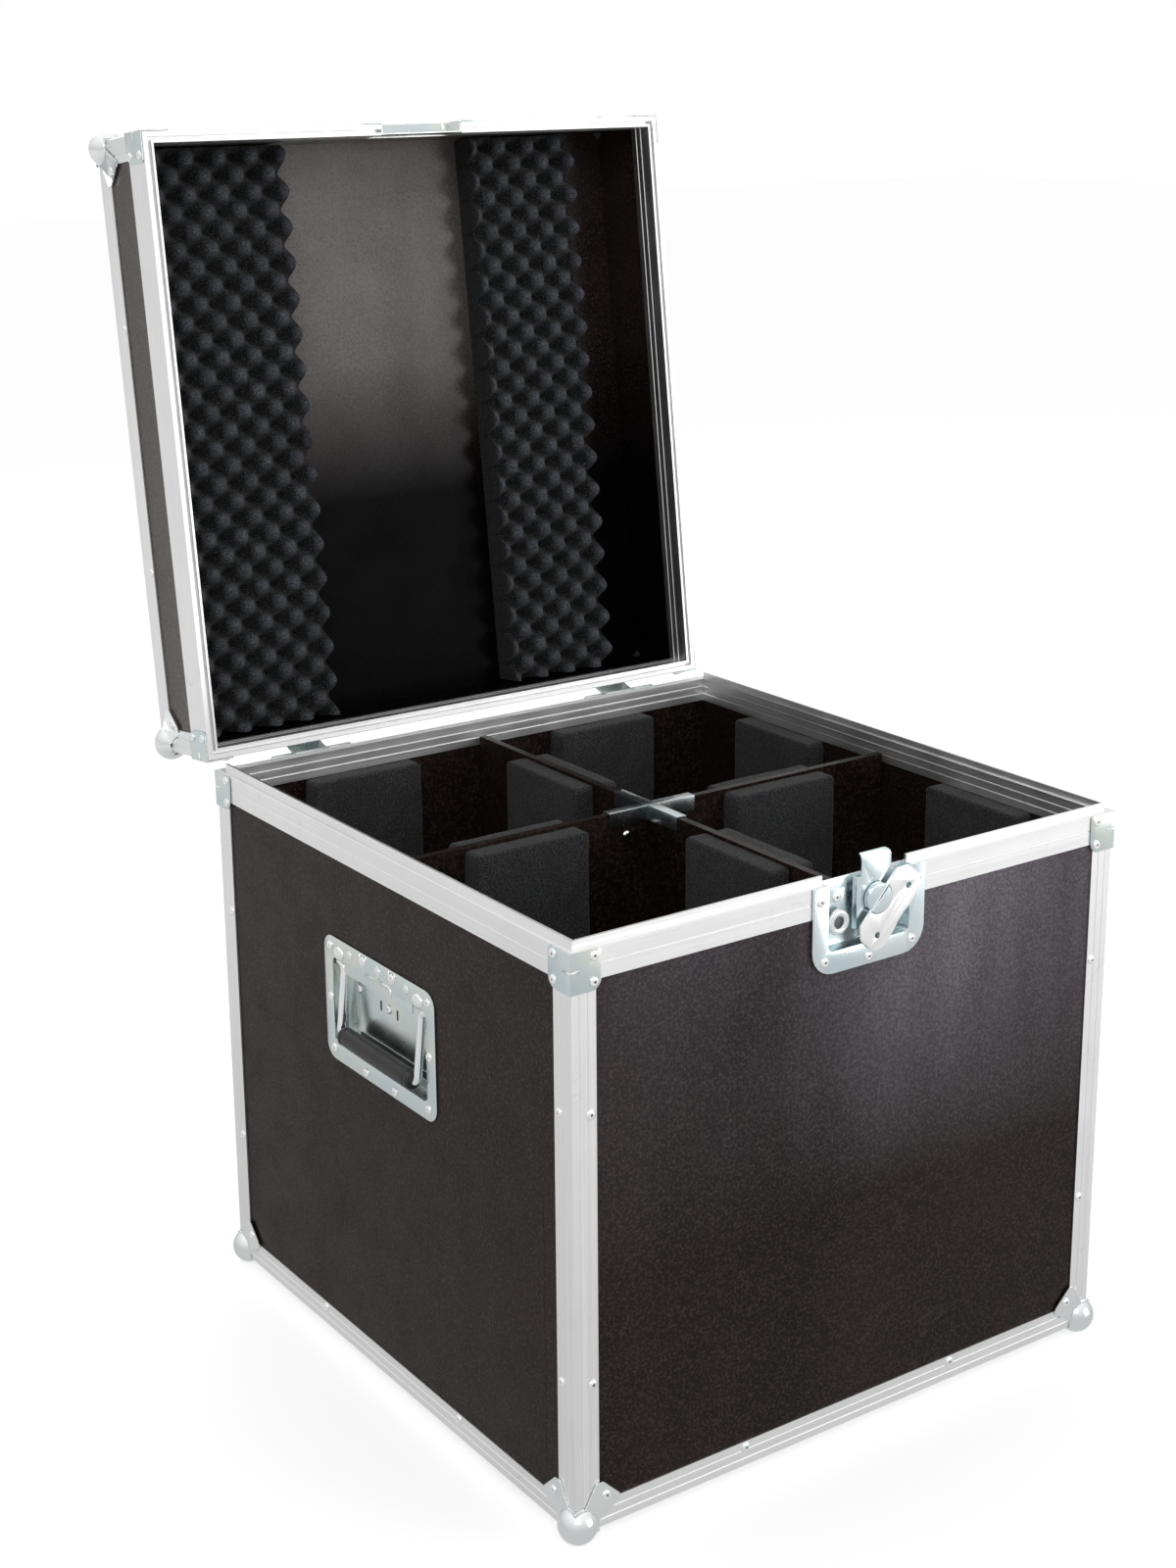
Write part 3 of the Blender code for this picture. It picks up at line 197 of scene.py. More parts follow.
def riding(name, mesh, skin, body):
    """A smooth object with a finish, which rides on a body."""
    mesh.shade_smooth()
    mesh.materials.append(skin)
    made = in_scene(name, mesh)
    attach(made, body)
    print(name, "has", len(mesh.polygons), "faces")
    return made


def piece(name, shape, skin, body, sharp=None):
    """An object from a shape; it is smooth, but for edges sharper than the angle given in degrees."""
    mesh = mesh_of(name, shape)
    mesh.validate()
    made = riding(name, mesh, skin, body)
    if sharp is not None:
        mesh.set_sharp_from_angle(angle=math.radians(sharp))
    return made


def full_turn(count):
    """The angles of a full turn in equal steps, without the last, which is the first again."""
    return np.linspace(0, 2 * np.pi, count, endpoint=False)


def spun(profile, around):
    """A profile of (radius, height) rows spun round Z: (r cos t, r sin t, h) for t from 0 to a full turn."""
    t = full_turn(around)
    radius, height = np.array(profile, float).T
    return skin_of(np.stack([np.outer(radius, np.cos(t)), np.outer(radius, np.sin(t)),
                             np.repeat(height[:, None], around, 1)], -1))


def rounded_box(low_x, low_y, high_x, high_y, radius, steps=6):
    """A flat outline round a box, with a quarter circle c + r (cos t, sin t) about a centre at each corner."""
    centres = np.array([(low_x + radius, low_y + radius), (high_x - radius, low_y + radius),
                        (high_x - radius, high_y - radius), (low_x + radius, high_y - radius)])
    t = np.pi + np.arange(4)[:, None] * np.pi / 2 + np.linspace(0, np.pi / 2, steps + 1)
    return (centres[:, None] + radius * np.stack([np.cos(t), np.sin(t)], -1)).reshape(-1, 2)


def drawn_in(outline, amount):
    """The outline moved inward by an amount: each point shifts along the mean of its two sides' normals."""
    ahead_side = np.roll(outline, -1, 0) - outline
    back_side = outline - np.roll(outline, 1, 0)
    normal = sum(np.stack([-side[:, 1], side[:, 0]], -1) / np.maximum(np.linalg.norm(side, axis=1), 1e-9)[:, None]
                 for side in (ahead_side, back_side))
    length = np.maximum((normal ** 2).sum(1), 0.5)
    return outline + amount * 2 * normal / length[:, None]


def at_height(outline, height):
    """The flat outline as points in space, all at one height."""
    return np.column_stack([outline, np.full(len(outline), height)])


def pressed(outline, levels):
    """A plate with one outline at many levels: levels holds (inset, height) rows, from the underside up to
    the top, and the two ends close on the outline's middle."""
    rings = np.array([at_height(drawn_in(outline, inset), height) for inset, height in levels])
    ends = [np.array([*outline.mean(axis=0), levels[end][1]]) for end in (0, -1)]
    return skin_of(rings, *ends)


def tube(path, radius, around):
    """A round bar on a path: at each point a circle stands square to the path, p + r (cos t u + sin t v),
    with u and v carried along so that the bar doesn't twist."""
    path = np.array(path, float)
    along = np.gradient(path, axis=0)
    along /= np.linalg.norm(along, axis=1)[:, None]
    u = np.cross(along[0], (0.31, 0.52, 0.79))
    sides = []
    for direction in along:
        u = u - direction * (u @ direction)
        u /= np.linalg.norm(u)
        sides.append((u, np.cross(direction, u)))
    u, v = np.array(sides).transpose(1, 0, 2)[:, :, None]
    t = full_turn(around)[:, None]
    return skin_of(path[:, None] + radius * (np.cos(t) * u + np.sin(t) * v))


# %% [markdown]
# ## Places on the box
# Rivets and corners come on every side, so each face of the box gets a matrix whose Z points
# out of the face, whose Y points up it, and whose zero is at the face's lower middle.

# %% Faces of the box
faces = {"front": (0, (0, -half_depth), half_width), "right": (90, (half_width, 0), half_depth),
         "rear": (180, (0, half_depth), half_width), "left": (-90, (-half_width, 0), half_depth)}


def on_face(side, points, proud, at_z=0.0, to_scene=case_to_scene):
    """Scene matrices for fittings at (along, up) points of a face, measured from its middle at a height and
    standing proud of it."""
    turn, middle, _ = faces[side]
    face = (Matrix.Translation((*middle, at_z)) @ Matrix.Rotation(math.radians(turn), 4, "Z")
            @ Matrix.Rotation(math.radians(90), 4, "X"))
    return [to_scene @ (face @ Matrix.Translation((x, y, proud))) for x, y in points]


def mirrored(points):
    """Points (x, y) at both -x and x, all of the first kind before those of the second."""
    return [(end * x, y) for end in (-1, 1) for x, y in points]


def matrix_of(x_axis, y_axis, z_axis, place):
    """The matrix with these three axes and this place."""
    return Matrix([*np.column_stack([x_axis, y_axis, z_axis, place]).tolist(), [0, 0, 0, 1]])


# %% [markdown]
# ## Effects that several finishes share
# Three effects come back in more than one material, so each is a node group that is built once:
# a slow cloudiness, the drawn lines that a die leaves along an extrusion, and handling marks.
# Each puts out plain numbers, which the material then mixes into its colour or roughness.

# %% A small language for nodes
class Nodes:
    """Short ways to add nodes to a tree. Any value may be a number, a tuple or another node's socket."""

    def __init__(self, tree):
        self.tree = tree

    def fill(self, node, values):
        """Set a node's inputs, given as a dictionary."""
        for key, value in values.items():
            if isinstance(value, bpy.types.NodeSocket):
                self.tree.links.new(value, node.inputs[key])
            else:
                node.inputs[key].default_value = value

    def add(self, kind, values=None, **settings):
        """A new node's outputs, its settings and inputs set."""
        node = self.tree.nodes.new("ShaderNode" + kind)
        for key, value in settings.items():
            setattr(node, key, value)
        self.fill(node, values or {})
        return node.outputs

    def number(self, operation, *values):
        """A sum, difference or other operation on numbers."""
        return self.add("Math", dict(enumerate(values)), operation=operation)[0]

    def times(self, first, *others):
        """The product of numbers."""
        for other in others:
            first = self.number("MULTIPLY", first, other)
        return first

    def ranged(self, value, low, high, start=0.0, end=1.0):
        """A number carried from the range start..end to the range low..high."""
        return self.add("MapRange", {"Value": value, "From Min": start, "From Max": end, "To Min": low,
                                     "To Max": high})[0]

    def mixed(self, share, *colours):
        """A colour between two colours."""
        first, second = (colour if isinstance(colour, bpy.types.NodeSocket) else (*colour, 1) for colour in colours)
        return self.add("Mix", {0: share, 6: first, 7: second}, data_type="RGBA")[2]

    def noise(self, place, scale, detail, **more):
        """The value of a noise at a place."""
        return self.add("TexNoise", {"Vector": place, "Scale": scale, "Detail": detail, **more})["Fac"]

    def stretched(self, place, by):
        """A place multiplied by a vector, axis by axis."""
        return self.add("VectorMath", {0: place, 1: by}, operation="MULTIPLY")[0]

    def axes(self, place):
        """The X, Y and Z of a place."""
        return self.add("SeparateXYZ", {0: place})

    def effect(self, shared, place, **values):
        """The outputs of a shared node group at a place."""
        node = self.tree.nodes.new("ShaderNodeGroup")
        node.node_tree = shared.tree
        self.fill(node, {"Position": place, **values})
        return node.outputs

    def surface(self, values, height, strength, distance):
        """Set the Principled shader's inputs, and bump its normal by a height."""
        normal = self.add("Bump", {"Height": height, "Strength": strength, "Distance": distance})[0]
        self.fill(self.tree.nodes["Principled BSDF"], {**values, "Normal": normal})


def group(name, inputs, outputs):
    """An empty shader node group with a position, named inputs (name: default) and outputs."""
    made = bpy.data.node_groups.new(name, "ShaderNodeTree")
    made.interface.new_socket("Position", in_out="INPUT", socket_type="NodeSocketVector")
    for key, value in inputs.items():
        made.interface.new_socket(key, in_out="INPUT", socket_type="NodeSocketFloat").default_value = value
    for key in outputs:
        made.interface.new_socket(key, in_out="OUTPUT", socket_type="NodeSocketFloat")
    return Nodes(made), made.nodes.new("NodeGroupInput").outputs, made.nodes.new("NodeGroupOutput")


# %% Cloudiness
cloud, given, result = group("cloud", {"Scale": 5.0, "Stretch": 1.0}, ["Value"])
scales = cloud.add("CombineXYZ", {0: 1.0, 1: 1.0, 2: given["Stretch"]})[0]
puffs = cloud.noise(cloud.stretched(given["Position"], scales), given["Scale"], 4.0, Roughness=0.55, Distortion=0.6)
cloud.fill(result, {"Value": cloud.ranged(puffs, 0.0, 1.0, 0.36, 0.66)})
print("group", cloud.tree.name)

# %% [markdown]
# The die lines have to run along each length of an edge. A frame's front and rear lengths run
# along X and its side lengths along Y, and the two meet on the mitre, where the distance to the
# box's middle is the same share of both sides. So the group compares these two shares.

# %% Drawn lines
drawn, given, result = group("drawn_lines", {"Half_width": 0.27, "Half_depth": 0.27, "Upright": 0.0}, ["Value"])
slow, fast = 3.0, 900.0
at, upright = drawn.axes(given["Position"]), given["Upright"]
share_x, share_y = (drawn.number("DIVIDE", drawn.number("ABSOLUTE", at[axis]), given[half])
                    for axis, half in enumerate(("Half_width", "Half_depth")))
on_side = drawn.number("GREATER_THAN", share_x, share_y)
scale_x, scale_y = (drawn.number("MAXIMUM", drawn.ranged(on_side, *ends), drawn.times(upright, fast))
                    for ends in ((slow, fast), (fast, slow)))
scales = drawn.add("CombineXYZ", {0: scale_x, 1: scale_y, 2: drawn.ranged(upright, fast, slow)})[0]
drawn.fill(result, {"Value": drawn.noise(drawn.stretched(given["Position"], scales), 1.0, 3.0, Roughness=0.6)})
print("group", drawn.tree.name)

# %% [markdown]
# Handling leaves hair-fine scratches that run every way and smudges that dull the gloss. Thin
# lines come from a stretched noise: only where it crosses its middle value is there a scratch.

# %% Handling marks
marks, given, result = group("handling_marks", {"Scale": 30.0}, ["Scratches", "Smudges"])
scratch_width = 0.004
any_line = 0.0
for turn in (0.4, 1.9, 2.9):
    turned = marks.add("VectorRotate", {"Vector": given["Position"], "Axis": (0.5, 0.6, 0.6), "Angle": turn},
                       rotation_type="AXIS_ANGLE")[0]
    strands = marks.noise(marks.stretched(turned, (1.0, 0.06, 1.0)), given["Scale"], 1.0)
    off_middle = marks.number("ABSOLUTE", marks.number("SUBTRACT", strands, 0.5))
    any_line = marks.number("MAXIMUM", any_line, marks.ranged(off_middle, 1.0, 0.0, 0.0, scratch_width))
patches = marks.ranged(marks.noise(given["Position"], 9.0, 2.0), 0.0, 1.0, 0.48, 0.62)
smudges = marks.ranged(marks.noise(given["Position"], 22.0, 5.0, Roughness=0.6), 0.0, 1.0, 0.4, 0.7)
marks.fill(result, {"Scratches": marks.times(any_line, patches), "Smudges": smudges})
print("group", marks.tree.name)

# %% [markdown]
# ## The finishes
# Each finish exists twice where its pattern follows the box: once for the base and once for the
# lid, whose coordinates are turned back to the shut position, so that lines and clouds run
# along its sides there too.

# %% Starting a finish
def finish(name, on_lid=False):
    """A material, its nodes, and a position measured from the box's middle with the lid shut."""
    made = bpy.data.materials.new(name)
    made.use_nodes = True
    nodes = Nodes(made.node_tree)
    back = (lid_to_scene if on_lid else case_to_scene).inverted()
    place = nodes.add("Mapping", {"Vector": nodes.add("TexCoord")["Object"], "Location": back.translation,
                                  "Rotation": back.to_euler()})[0]
    return made, nodes, place


# %% [markdown]
# The boards are birch plywood under a hard brown film. The film is thin, so the veneer's fine
# pores show through as a faint grain, the press leaves slow clouds, and hands leave smudges. On
# top of that comes painted light: a pale painted reflection on the base toward the upper right,
# and in the lid a painted reflection toward its front with painted shade deeper in.

# %% Brown film on plywood
# Painted light on the film: where the pale painted reflections lie on the base and in the lid, where the lid's painted
# shade begins, and the reflections' colours.
base_reflection_across, base_reflection_up = (-0.28, 0.28), (0.20, 0.47)
lid_reflection_reach, lid_reflection_across, lid_shade_reach = (-0.13, 0.05), (0.12, 0.20), (-0.06, 0.07)
base_reflection_colour, lid_reflection_colour = (0.310, 0.280, 0.330), (0.140, 0.127, 0.117)
lid_board_middle = lid_top - 0.005
outer_skin = 0.004


def film_board(name, on_lid, gloss=0.0):
    """Film-faced board: clouds and fine grain in the colour, a painted reflection broken into streaks, in the lid also
    painted shade; smudges and scratches in the gloss.
    """
    made, nodes, place = finish(name, on_lid)
    clouds = nodes.effect(cloud, place, Scale=7.0, Stretch=0.45)["Value"]
    worn = nodes.effect(marks, place, Scale=26.0)
    grain = nodes.noise(place, 900.0, 3.0, Roughness=0.7)
    wide_grain = nodes.noise(place, 420.0, 2.0, Roughness=0.6)
    colour = nodes.mixed(nodes.ranged(clouds, 0.0, 0.75), (0.0054, 0.0028, 0.0023), (0.0165, 0.0100, 0.0088))
    colour = nodes.mixed(nodes.ranged(grain, 0.0, 0.45, 0.50, 0.75), colour, (0.046, 0.033, 0.032))
    colour = nodes.mixed(nodes.ranged(wide_grain, 0.0, 0.62, 0.48, 0.72), colour, (0.078, 0.050, 0.043))
    long_way = nodes.stretched(place, (14.0, 1.6, 14.0) if on_lid else (14.0, 14.0, 1.6))
    streaks = nodes.ranged(nodes.noise(long_way, 1.0, 3.0), 0.60, 1.0, 0.32, 0.62)
    at = nodes.axes(place)
    outer_x, outer_y = (nodes.number("GREATER_THAN", nodes.number("ABSOLUTE", at[axis]), half - outer_skin)
                        for axis, half in enumerate((half_width, half_depth)))
    outer = nodes.number("MAXIMUM", outer_x, outer_y)
    # Painted reflection: in the lid a pale patch toward its front, with the same pale tone on its outer left and right
    # faces; on the base a pale patch toward the upper right of the outer faces, weaker on the left and right sides.
    if on_lid:
        inside = nodes.times(nodes.number("LESS_THAN", at[2], lid_board_middle), nodes.number("SUBTRACT", 1.0, outer))
        painted_reflection = nodes.times(inside, nodes.ranged(at[0], 1.0, 0.0, *lid_reflection_across),
                           nodes.ranged(at[1], 1.0, 0.0, *lid_reflection_reach))
        painted_reflection = nodes.number("MAXIMUM", painted_reflection, nodes.times(outer_x, 0.7))
    else:
        patches = nodes.effect(cloud, place, Scale=4.0, Stretch=0.7)["Value"]
        painted_reflection = nodes.times(nodes.ranged(at[0], 0.12, 1.0, *base_reflection_across),
                           nodes.ranged(at[2], 0.0, 1.0, *base_reflection_up), outer, nodes.ranged(patches, 0.35, 1.0),
                           nodes.ranged(outer_x, 1.0, 0.3))
    painted_reflection = nodes.times(painted_reflection, streaks, nodes.ranged(wide_grain, 0.66, 1.2, 0.36, 0.64))
    colour = nodes.mixed(painted_reflection, colour, lid_reflection_colour if on_lid else base_reflection_colour)
    colour = nodes.mixed(nodes.times(worn["Scratches"], 0.10), colour, (0.16, 0.14, 0.14))
    specular = 0.12
    # Painted shade: the lid's film turns nearly black deeper into the lid, toward the hinge, and its gloss fades there
    # too.
    if on_lid:
        painted_shade = nodes.times(inside, nodes.ranged(at[1], 0.0, 0.92, *lid_shade_reach))
        colour = nodes.mixed(painted_shade, colour, (0.0020, 0.0018, 0.0022))
        specular = nodes.ranged(painted_shade, 0.26, 0.0)
    rough = nodes.number("ADD", nodes.ranged(worn["Smudges"], 0.30 - gloss, 0.42 - gloss),
                         nodes.ranged(clouds, 0.0, 0.07))
    tint = nodes.mixed(outer_x, (1.0, 1.0, 1.0), (1.0, 0.80, 0.76))
    nodes.surface({"Base Color": colour, "Roughness": rough, "Specular IOR Level": specular, "Specular Tint": tint},
                  grain, 0.16, 0.0002)
    return made


base_film = film_board("base_film_board", on_lid=False)
lid_film = film_board("lid_film_board", on_lid=True, gloss=0.10)
print("finishes", base_film.name, lid_film.name)

# %% [markdown]
# The edges are drawn aluminium with a satin anodised skin: nearly white, with die lines along
# each length and a soft unevenness where the bath ran.

# %% Satin aluminium
def satin_aluminium(name, on_lid, upright=0.0):
    """Anodised extrusion: die lines in roughness, colour and a very shallow bump."""
    made, nodes, place = finish(name, on_lid)
    lines = nodes.effect(drawn, place, Half_width=half_width, Half_depth=half_depth, Upright=upright)["Value"]
    clouds = nodes.effect(cloud, place, Scale=14.0)["Value"]
    worn = nodes.effect(marks, place, Scale=40.0)
    colour = nodes.mixed(nodes.ranged(lines, 0.0, 1.0, 0.3, 0.7), (0.84, 0.84, 0.835), (0.93, 0.93, 0.93))
    colour = nodes.mixed(nodes.ranged(clouds, 0.0, 0.35), colour, (0.80, 0.805, 0.81))
    colour = nodes.mixed(nodes.times(worn["Scratches"], 0.25), colour, (0.55, 0.55, 0.56))
    rough = nodes.number("ADD", nodes.ranged(lines, 0.30, 0.44, 0.3, 0.7), nodes.ranged(worn["Smudges"], 0.0, 0.06))
    nodes.surface({"Base Color": colour, "Roughness": rough, "Metallic": 1.0}, lines, 0.12, 0.0001)
    return made


base_aluminium = satin_aluminium("base_aluminium", on_lid=False)
upright_aluminium = satin_aluminium("upright_aluminium", on_lid=False, upright=1.0)
lid_aluminium = satin_aluminium("lid_aluminium", on_lid=True)
print("finishes", base_aluminium.name, upright_aluminium.name, lid_aluminium.name)

# %% [markdown]
# The fittings are steel with bright zinc plating, which is passivated: the skin is so thin that it
# tints the reflections, here pale blue-green, there straw. Fine spangle breaks up the gloss.

# %% Bright zinc
def bright_zinc(name, on_lid, tints=((0.61, 0.70, 0.73), (0.715, 0.745, 0.69)), polish=0.0, marked=0.12):
    """Plated or bare metal: slow tints over a reflecting metal, fine grain in the roughness."""
    made, nodes, place = finish(name, on_lid)
    tint = nodes.effect(cloud, place, Scale=26.0)["Value"]
    worn = nodes.effect(marks, place, Scale=60.0)
    grain = nodes.noise(place, 700.0, 2.0)
    colour = nodes.mixed(nodes.times(worn["Scratches"], marked), nodes.mixed(tint, *tints), (0.88, 0.90, 0.90))
    rough = nodes.number("ADD", nodes.ranged(grain, 0.16 - polish, 0.26 - polish),
                         nodes.ranged(worn["Smudges"], 0.0, 0.12 - polish / 2))
    nodes.surface({"Base Color": colour, "Roughness": rough, "Metallic": 1.0}, grain, 0.05, 0.0002)
    return made


base_zinc, lid_zinc = bright_zinc("base_zinc", False), bright_zinc("lid_zinc", True)
chrome_tints, rivet_tints = ((0.78, 0.82, 0.84), (0.86, 0.88, 0.86)), ((0.93, 0.93, 0.935), (0.97, 0.97, 0.97))
latch_zinc = bright_zinc("latch_zinc", False, ((0.64, 0.76, 0.81), (0.75, 0.81, 0.82)))
base_chrome, lid_chrome = (bright_zinc(part + "_chrome", part == "lid", chrome_tints, 0.08) for part in ("base", "lid"))
base_rivet, lid_rivet = (bright_zinc(part + "_rivet_metal", part == "lid", rivet_tints, -0.05, 0.1)
                         for part in ("base", "lid"))
# Near-black steel as painted shade: the rivets' pin ends are darkened for the shade in their hollows, and a disc in the
# padlock eye for the shadow in its hole.
pin_and_shade_steel = bright_zinc("dark_pin_and_shade_steel", False, ((0.10, 0.10, 0.105), (0.22, 0.22, 0.225)), -0.2, 0.0)
wing_white = bright_zinc("wing_nickel", False, ((0.94, 0.945, 0.945), (0.98, 0.98, 0.975)), -0.14)
print("finishes", base_zinc.name, base_chrome.name, base_rivet.name, wing_white.name)

# %% [markdown]
# The grip is moulded rubber: nearly black, with a dull bloom and a very fine sand-like skin.

# %% Moulded rubber
rubber, nodes, place = finish("moulded_rubber")
bloom = nodes.effect(cloud, place, Scale=60.0)["Value"]
nodes.surface({"Base Color": nodes.mixed(bloom, (0.0075, 0.0070, 0.0068), (0.0180, 0.0165, 0.0160)),
               "Roughness": nodes.ranged(bloom, 0.38, 0.52)}, nodes.noise(place, 1500.0, 2.0), 0.25, 0.0002)
print("finish", rubber.name)

# %% [markdown]
# The foam is open-celled: a sponge of tiny struts. Cell walls catch the light as pale specks, and
# the holes between them stay black, so both colour and height come from one cell pattern. In the
# lid the hollows between the peaks get painted shade, as little light gets into them.

# %% Charcoal foam
crate_shade_depths = (0.5240, 0.5298)


def open_cell_foam(name, on_lid, dark, pale, speck):
    """Sponge: a cell pattern about a millimetre wide drives colour, height and a soft sheen."""
    made, nodes, place = finish(name, on_lid)
    cells = nodes.add("TexVoronoi", {"Vector": place, "Scale": 620.0, "Randomness": 1.0})["Distance"]
    slow_tone = nodes.effect(cloud, place, Scale=18.0)["Value"]
    holes = nodes.ranged(cells, 0.0, 1.0, 0.1, 0.75)
    colour = nodes.mixed(nodes.ranged(slow_tone, 0.0, 0.3), nodes.mixed(holes, dark, pale), dark)
    # Painted shade: the lid foam darkens toward the roof, in the hollows between the peaks.
    if on_lid:
        colour = nodes.mixed(nodes.ranged(nodes.axes(place)[2], 0.0, 0.96, *crate_shade_depths), colour,
                             (0.0015, 0.0016, 0.0020))
    specks = nodes.ranged(nodes.noise(place, 1400.0, 2.0), 0.0, 1.0, 0.59, 0.71)
    colour = nodes.mixed(nodes.times(specks, speck), colour, (0.20, 0.205, 0.21))
    nodes.surface({"Base Color": colour, "Roughness": 0.95, "Specular IOR Level": 0.15, "Sheen Weight": 0.10,
                   "Sheen Roughness": 0.5}, holes, 0.8, 0.0006)
    return made


pad_foam = open_cell_foam("pad_foam", False, (0.008, 0.008, 0.009), (0.050, 0.051, 0.054), 0.75)
crate_foam = open_cell_foam("crate_foam", True, (0.005, 0.0055, 0.0070), (0.100, 0.110, 0.130), 0.80)
print("finishes", pad_foam.name, crate_foam.name)

# %% [markdown]
# ## Dressing the solids
# Boards, edges, dishes and hinges already have the right shape, so they keep it and only get a
# finish. Their names say what they are made of.

# %% Finishes on the solids
for name, node in frame["nodes"].items():
    on_lid = name.startswith("lid_") or name == "keeper_dish"
    if name.endswith(("_panel", "_divider")):
        skin = lid_film if on_lid else base_film
    elif name.endswith(("_rim", "_frame")):
        skin = lid_aluminium if on_lid else base_aluminium
    elif name.endswith("_edge"):
        skin = upright_aluminium
    elif name.endswith("_grip"):
        skin = rubber
    elif "foam" in name:
        skin = crate_foam if on_lid else pad_foam
    else:
        skin = lid_zinc if on_lid else base_zinc
    for slot in node.material_slots:
        slot.material = skin
print("dressed", len(frame["nodes"]), "solids")

# %% [markdown]
# ## Rounded solids
# Cut sheet and cast steel never end in a knife edge. The fittings keep the shape of their solids
# but need a fine rounding that catches the light, so each is made again from its solid's mesh:
# doubled points merge, flat neighbours become one face, and a bevel rounds the edges left.

# %% Rounding a solid's edges
weld = 2e-6
flat_enough = math.radians(0.5)
sharp_edge = math.radians(30)


def softened(names, name, skin, body, width=0.00025, extra=None):
    """One steel object from the meshes of some solids and an extra shape, with edges over 30 degrees rounded."""
    edit = bmesh.new()
    for node in (frame["nodes"][key] for key in names):
        mesh = node.data.copy()
        mesh.transform(node.matrix_world)
        edit.from_mesh(mesh)
    bmesh.ops.remove_doubles(edit, verts=edit.verts, dist=weld)
    bmesh.ops.dissolve_limit(edit, angle_limit=flat_enough, verts=edit.verts, edges=edit.edges)
    if extra is not None:
        edit.from_mesh(mesh_of(name, extra))
    mesh = bpy.data.meshes.new(name)
    edit.to_mesh(mesh)
    edit.free()
    mesh.polygons.foreach_set("material_index", [0] * len(mesh.polygons))
    made = riding(name, mesh, skin, body)
    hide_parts(*names)
    bevel = made.modifiers.new("rounding", "BEVEL")
    bevel.width = width
    bevel.segments = 2
    bevel.limit_method = "ANGLE"
    bevel.angle_limit = sharp_edge
    bevel.harden_normals = True


softened(["left_handle_dish", "right_handle_dish"], "handle_dishes", base_zinc, "base")
softened(["latch_dish"], "latch_dish_steel", latch_zinc, "base")
softened(["keeper_dish"], "keeper_dish_steel", lid_zinc, "lid")
hands = ("left", "right")
for prefix, skin in (("base", base_zinc), ("lid", lid_zinc)):
    softened([f"{prefix}_{hand}_hinge_leaf" for hand in hands], prefix + "_hinge_steel", skin, prefix, 0.0002)
softened(["divider_cross_bracket"], "bracket_steel", base_zinc, "base")
corner_names = [f"{end}_{hand}" for end in ("front", "rear") for hand in hands]
for prefix, skin in (("base", base_zinc), ("lid", lid_zinc)):
    softened([f"{prefix}_{corner}_brace" for corner in corner_names], prefix + "_brace_steel", skin, prefix, 0.0003)
for body, skin, fine in (("hook", latch_zinc, 0.00012), ("spindle", latch_zinc, 0.00012), ("wing", wing_white, 0.0003)):
    softened(["latch_" + body], f"latch_{body}_steel", skin, body, fine)

# %% [markdown]
# ## Ball corners
# Each corner is a pressed ball with three petals riveted to the edges. The ball is a true sphere
# here, of many more faces than its solid. Where a point of it would lie inside the box, its
# smallest distance from a face is brought back to a hair outside that face.

# %% Balls over the corners
ball_radius = 0.01565
ball_inset = 0.0063
hair = 0.0003


def corner_ball(around=56, rows=34):
    """The sphere r = const about (c, c, c), with min(x, y, z) set to -hair where all three exceed -hair."""
    turn = np.linspace(0, np.pi, rows)[1:-1]
    points, quads, triangles = spun(np.column_stack([np.sin(turn), -np.cos(turn)]) * ball_radius, around)
    points = points + ball_inset
    inside = np.flatnonzero((points > -hair).all(axis=1))
    points[inside, points[inside].argmin(axis=1)] = -hair
    return points, quads, triangles


def corner_matrix(sign_x, sign_y, sign_z, height):
    """Matrix of a box corner: its axes point into the box, and two change places where that mirrors it."""
    x_axis, y_axis, z_axis = np.diag((sign_x, sign_y, sign_z)).astype(float)
    if sign_x * sign_y * sign_z < 0:
        x_axis, y_axis = y_axis, x_axis
    return matrix_of(x_axis, y_axis, z_axis, (-sign_x * half_width, -sign_y * half_depth, height))


signs = [(x, y) for y in (1, -1) for x in (1, -1)]
ball = corner_ball()
base_corners = [case_to_scene @ corner_matrix(x, y, 1, 0) for x, y in signs]
lid_corners = [lid_to_scene @ corner_matrix(x, y, -1, lid_top) for x, y in signs]
for prefix, corners, skin in (("base", base_corners, base_chrome), ("lid", lid_corners, lid_chrome)):
    softened([f"{prefix}_{corner}_ball_corner" for corner in corner_names], f"{prefix}_ball_corner_steel", skin,
             prefix, 0.0002, placed(ball, corners))

# %% [markdown]
# ## Rivets
# A blind rivet has a low domed flange with a small hollow where the pin broke off. Its profile is
# spun once and placed wherever the real case has one, always proud of the plate it holds.

# %% One rivet head
rivet_radius = 0.0039
rivet = spun(np.array([(0.94, -0.10), (1.0, 0.0), (1.0, 0.10), (0.95, 0.20), (0.82, 0.31), (0.62, 0.39),
                       (0.42, 0.42), (0.33, 0.40), (0.28, 0.22), (0.10, 0.20)]) * rivet_radius, 28)
# The pin end in the hollow, partly real and partly painted shade.
pin_end_and_shade = spun(np.array([(0.27, 0.10), (0.27, 0.235), (0.18, 0.25)]) * rivet_radius, 14)


def rivets(name, matrices, skin, body):
    """One object of rivets at all the matrices, and one of the dark pin ends in their hollows, partly the real pin and
    partly painted shade of the hollow.
    """
    piece(name, placed(rivet, matrices), skin, body, 40)
    piece(name + "_pin_ends_and_shade", placed(pin_end_and_shade, matrices), pin_and_shade_steel, body, 40)


# %% [markdown]
# Rivets sit in pairs up the corner edges, along the bottom and top edges, in each petal of the
# ball corners and in each leg of the braces over the mitres.

# %% Rows on edges, petals and braces
edge_in = 0.0167
upright_rows = (0.124, 0.342)
bottom_rows = 0.109
plate_front = 0.0015
brace_in = 0.0195
brace_rows = (0.006, 0.0257)
petal_in = 0.0275


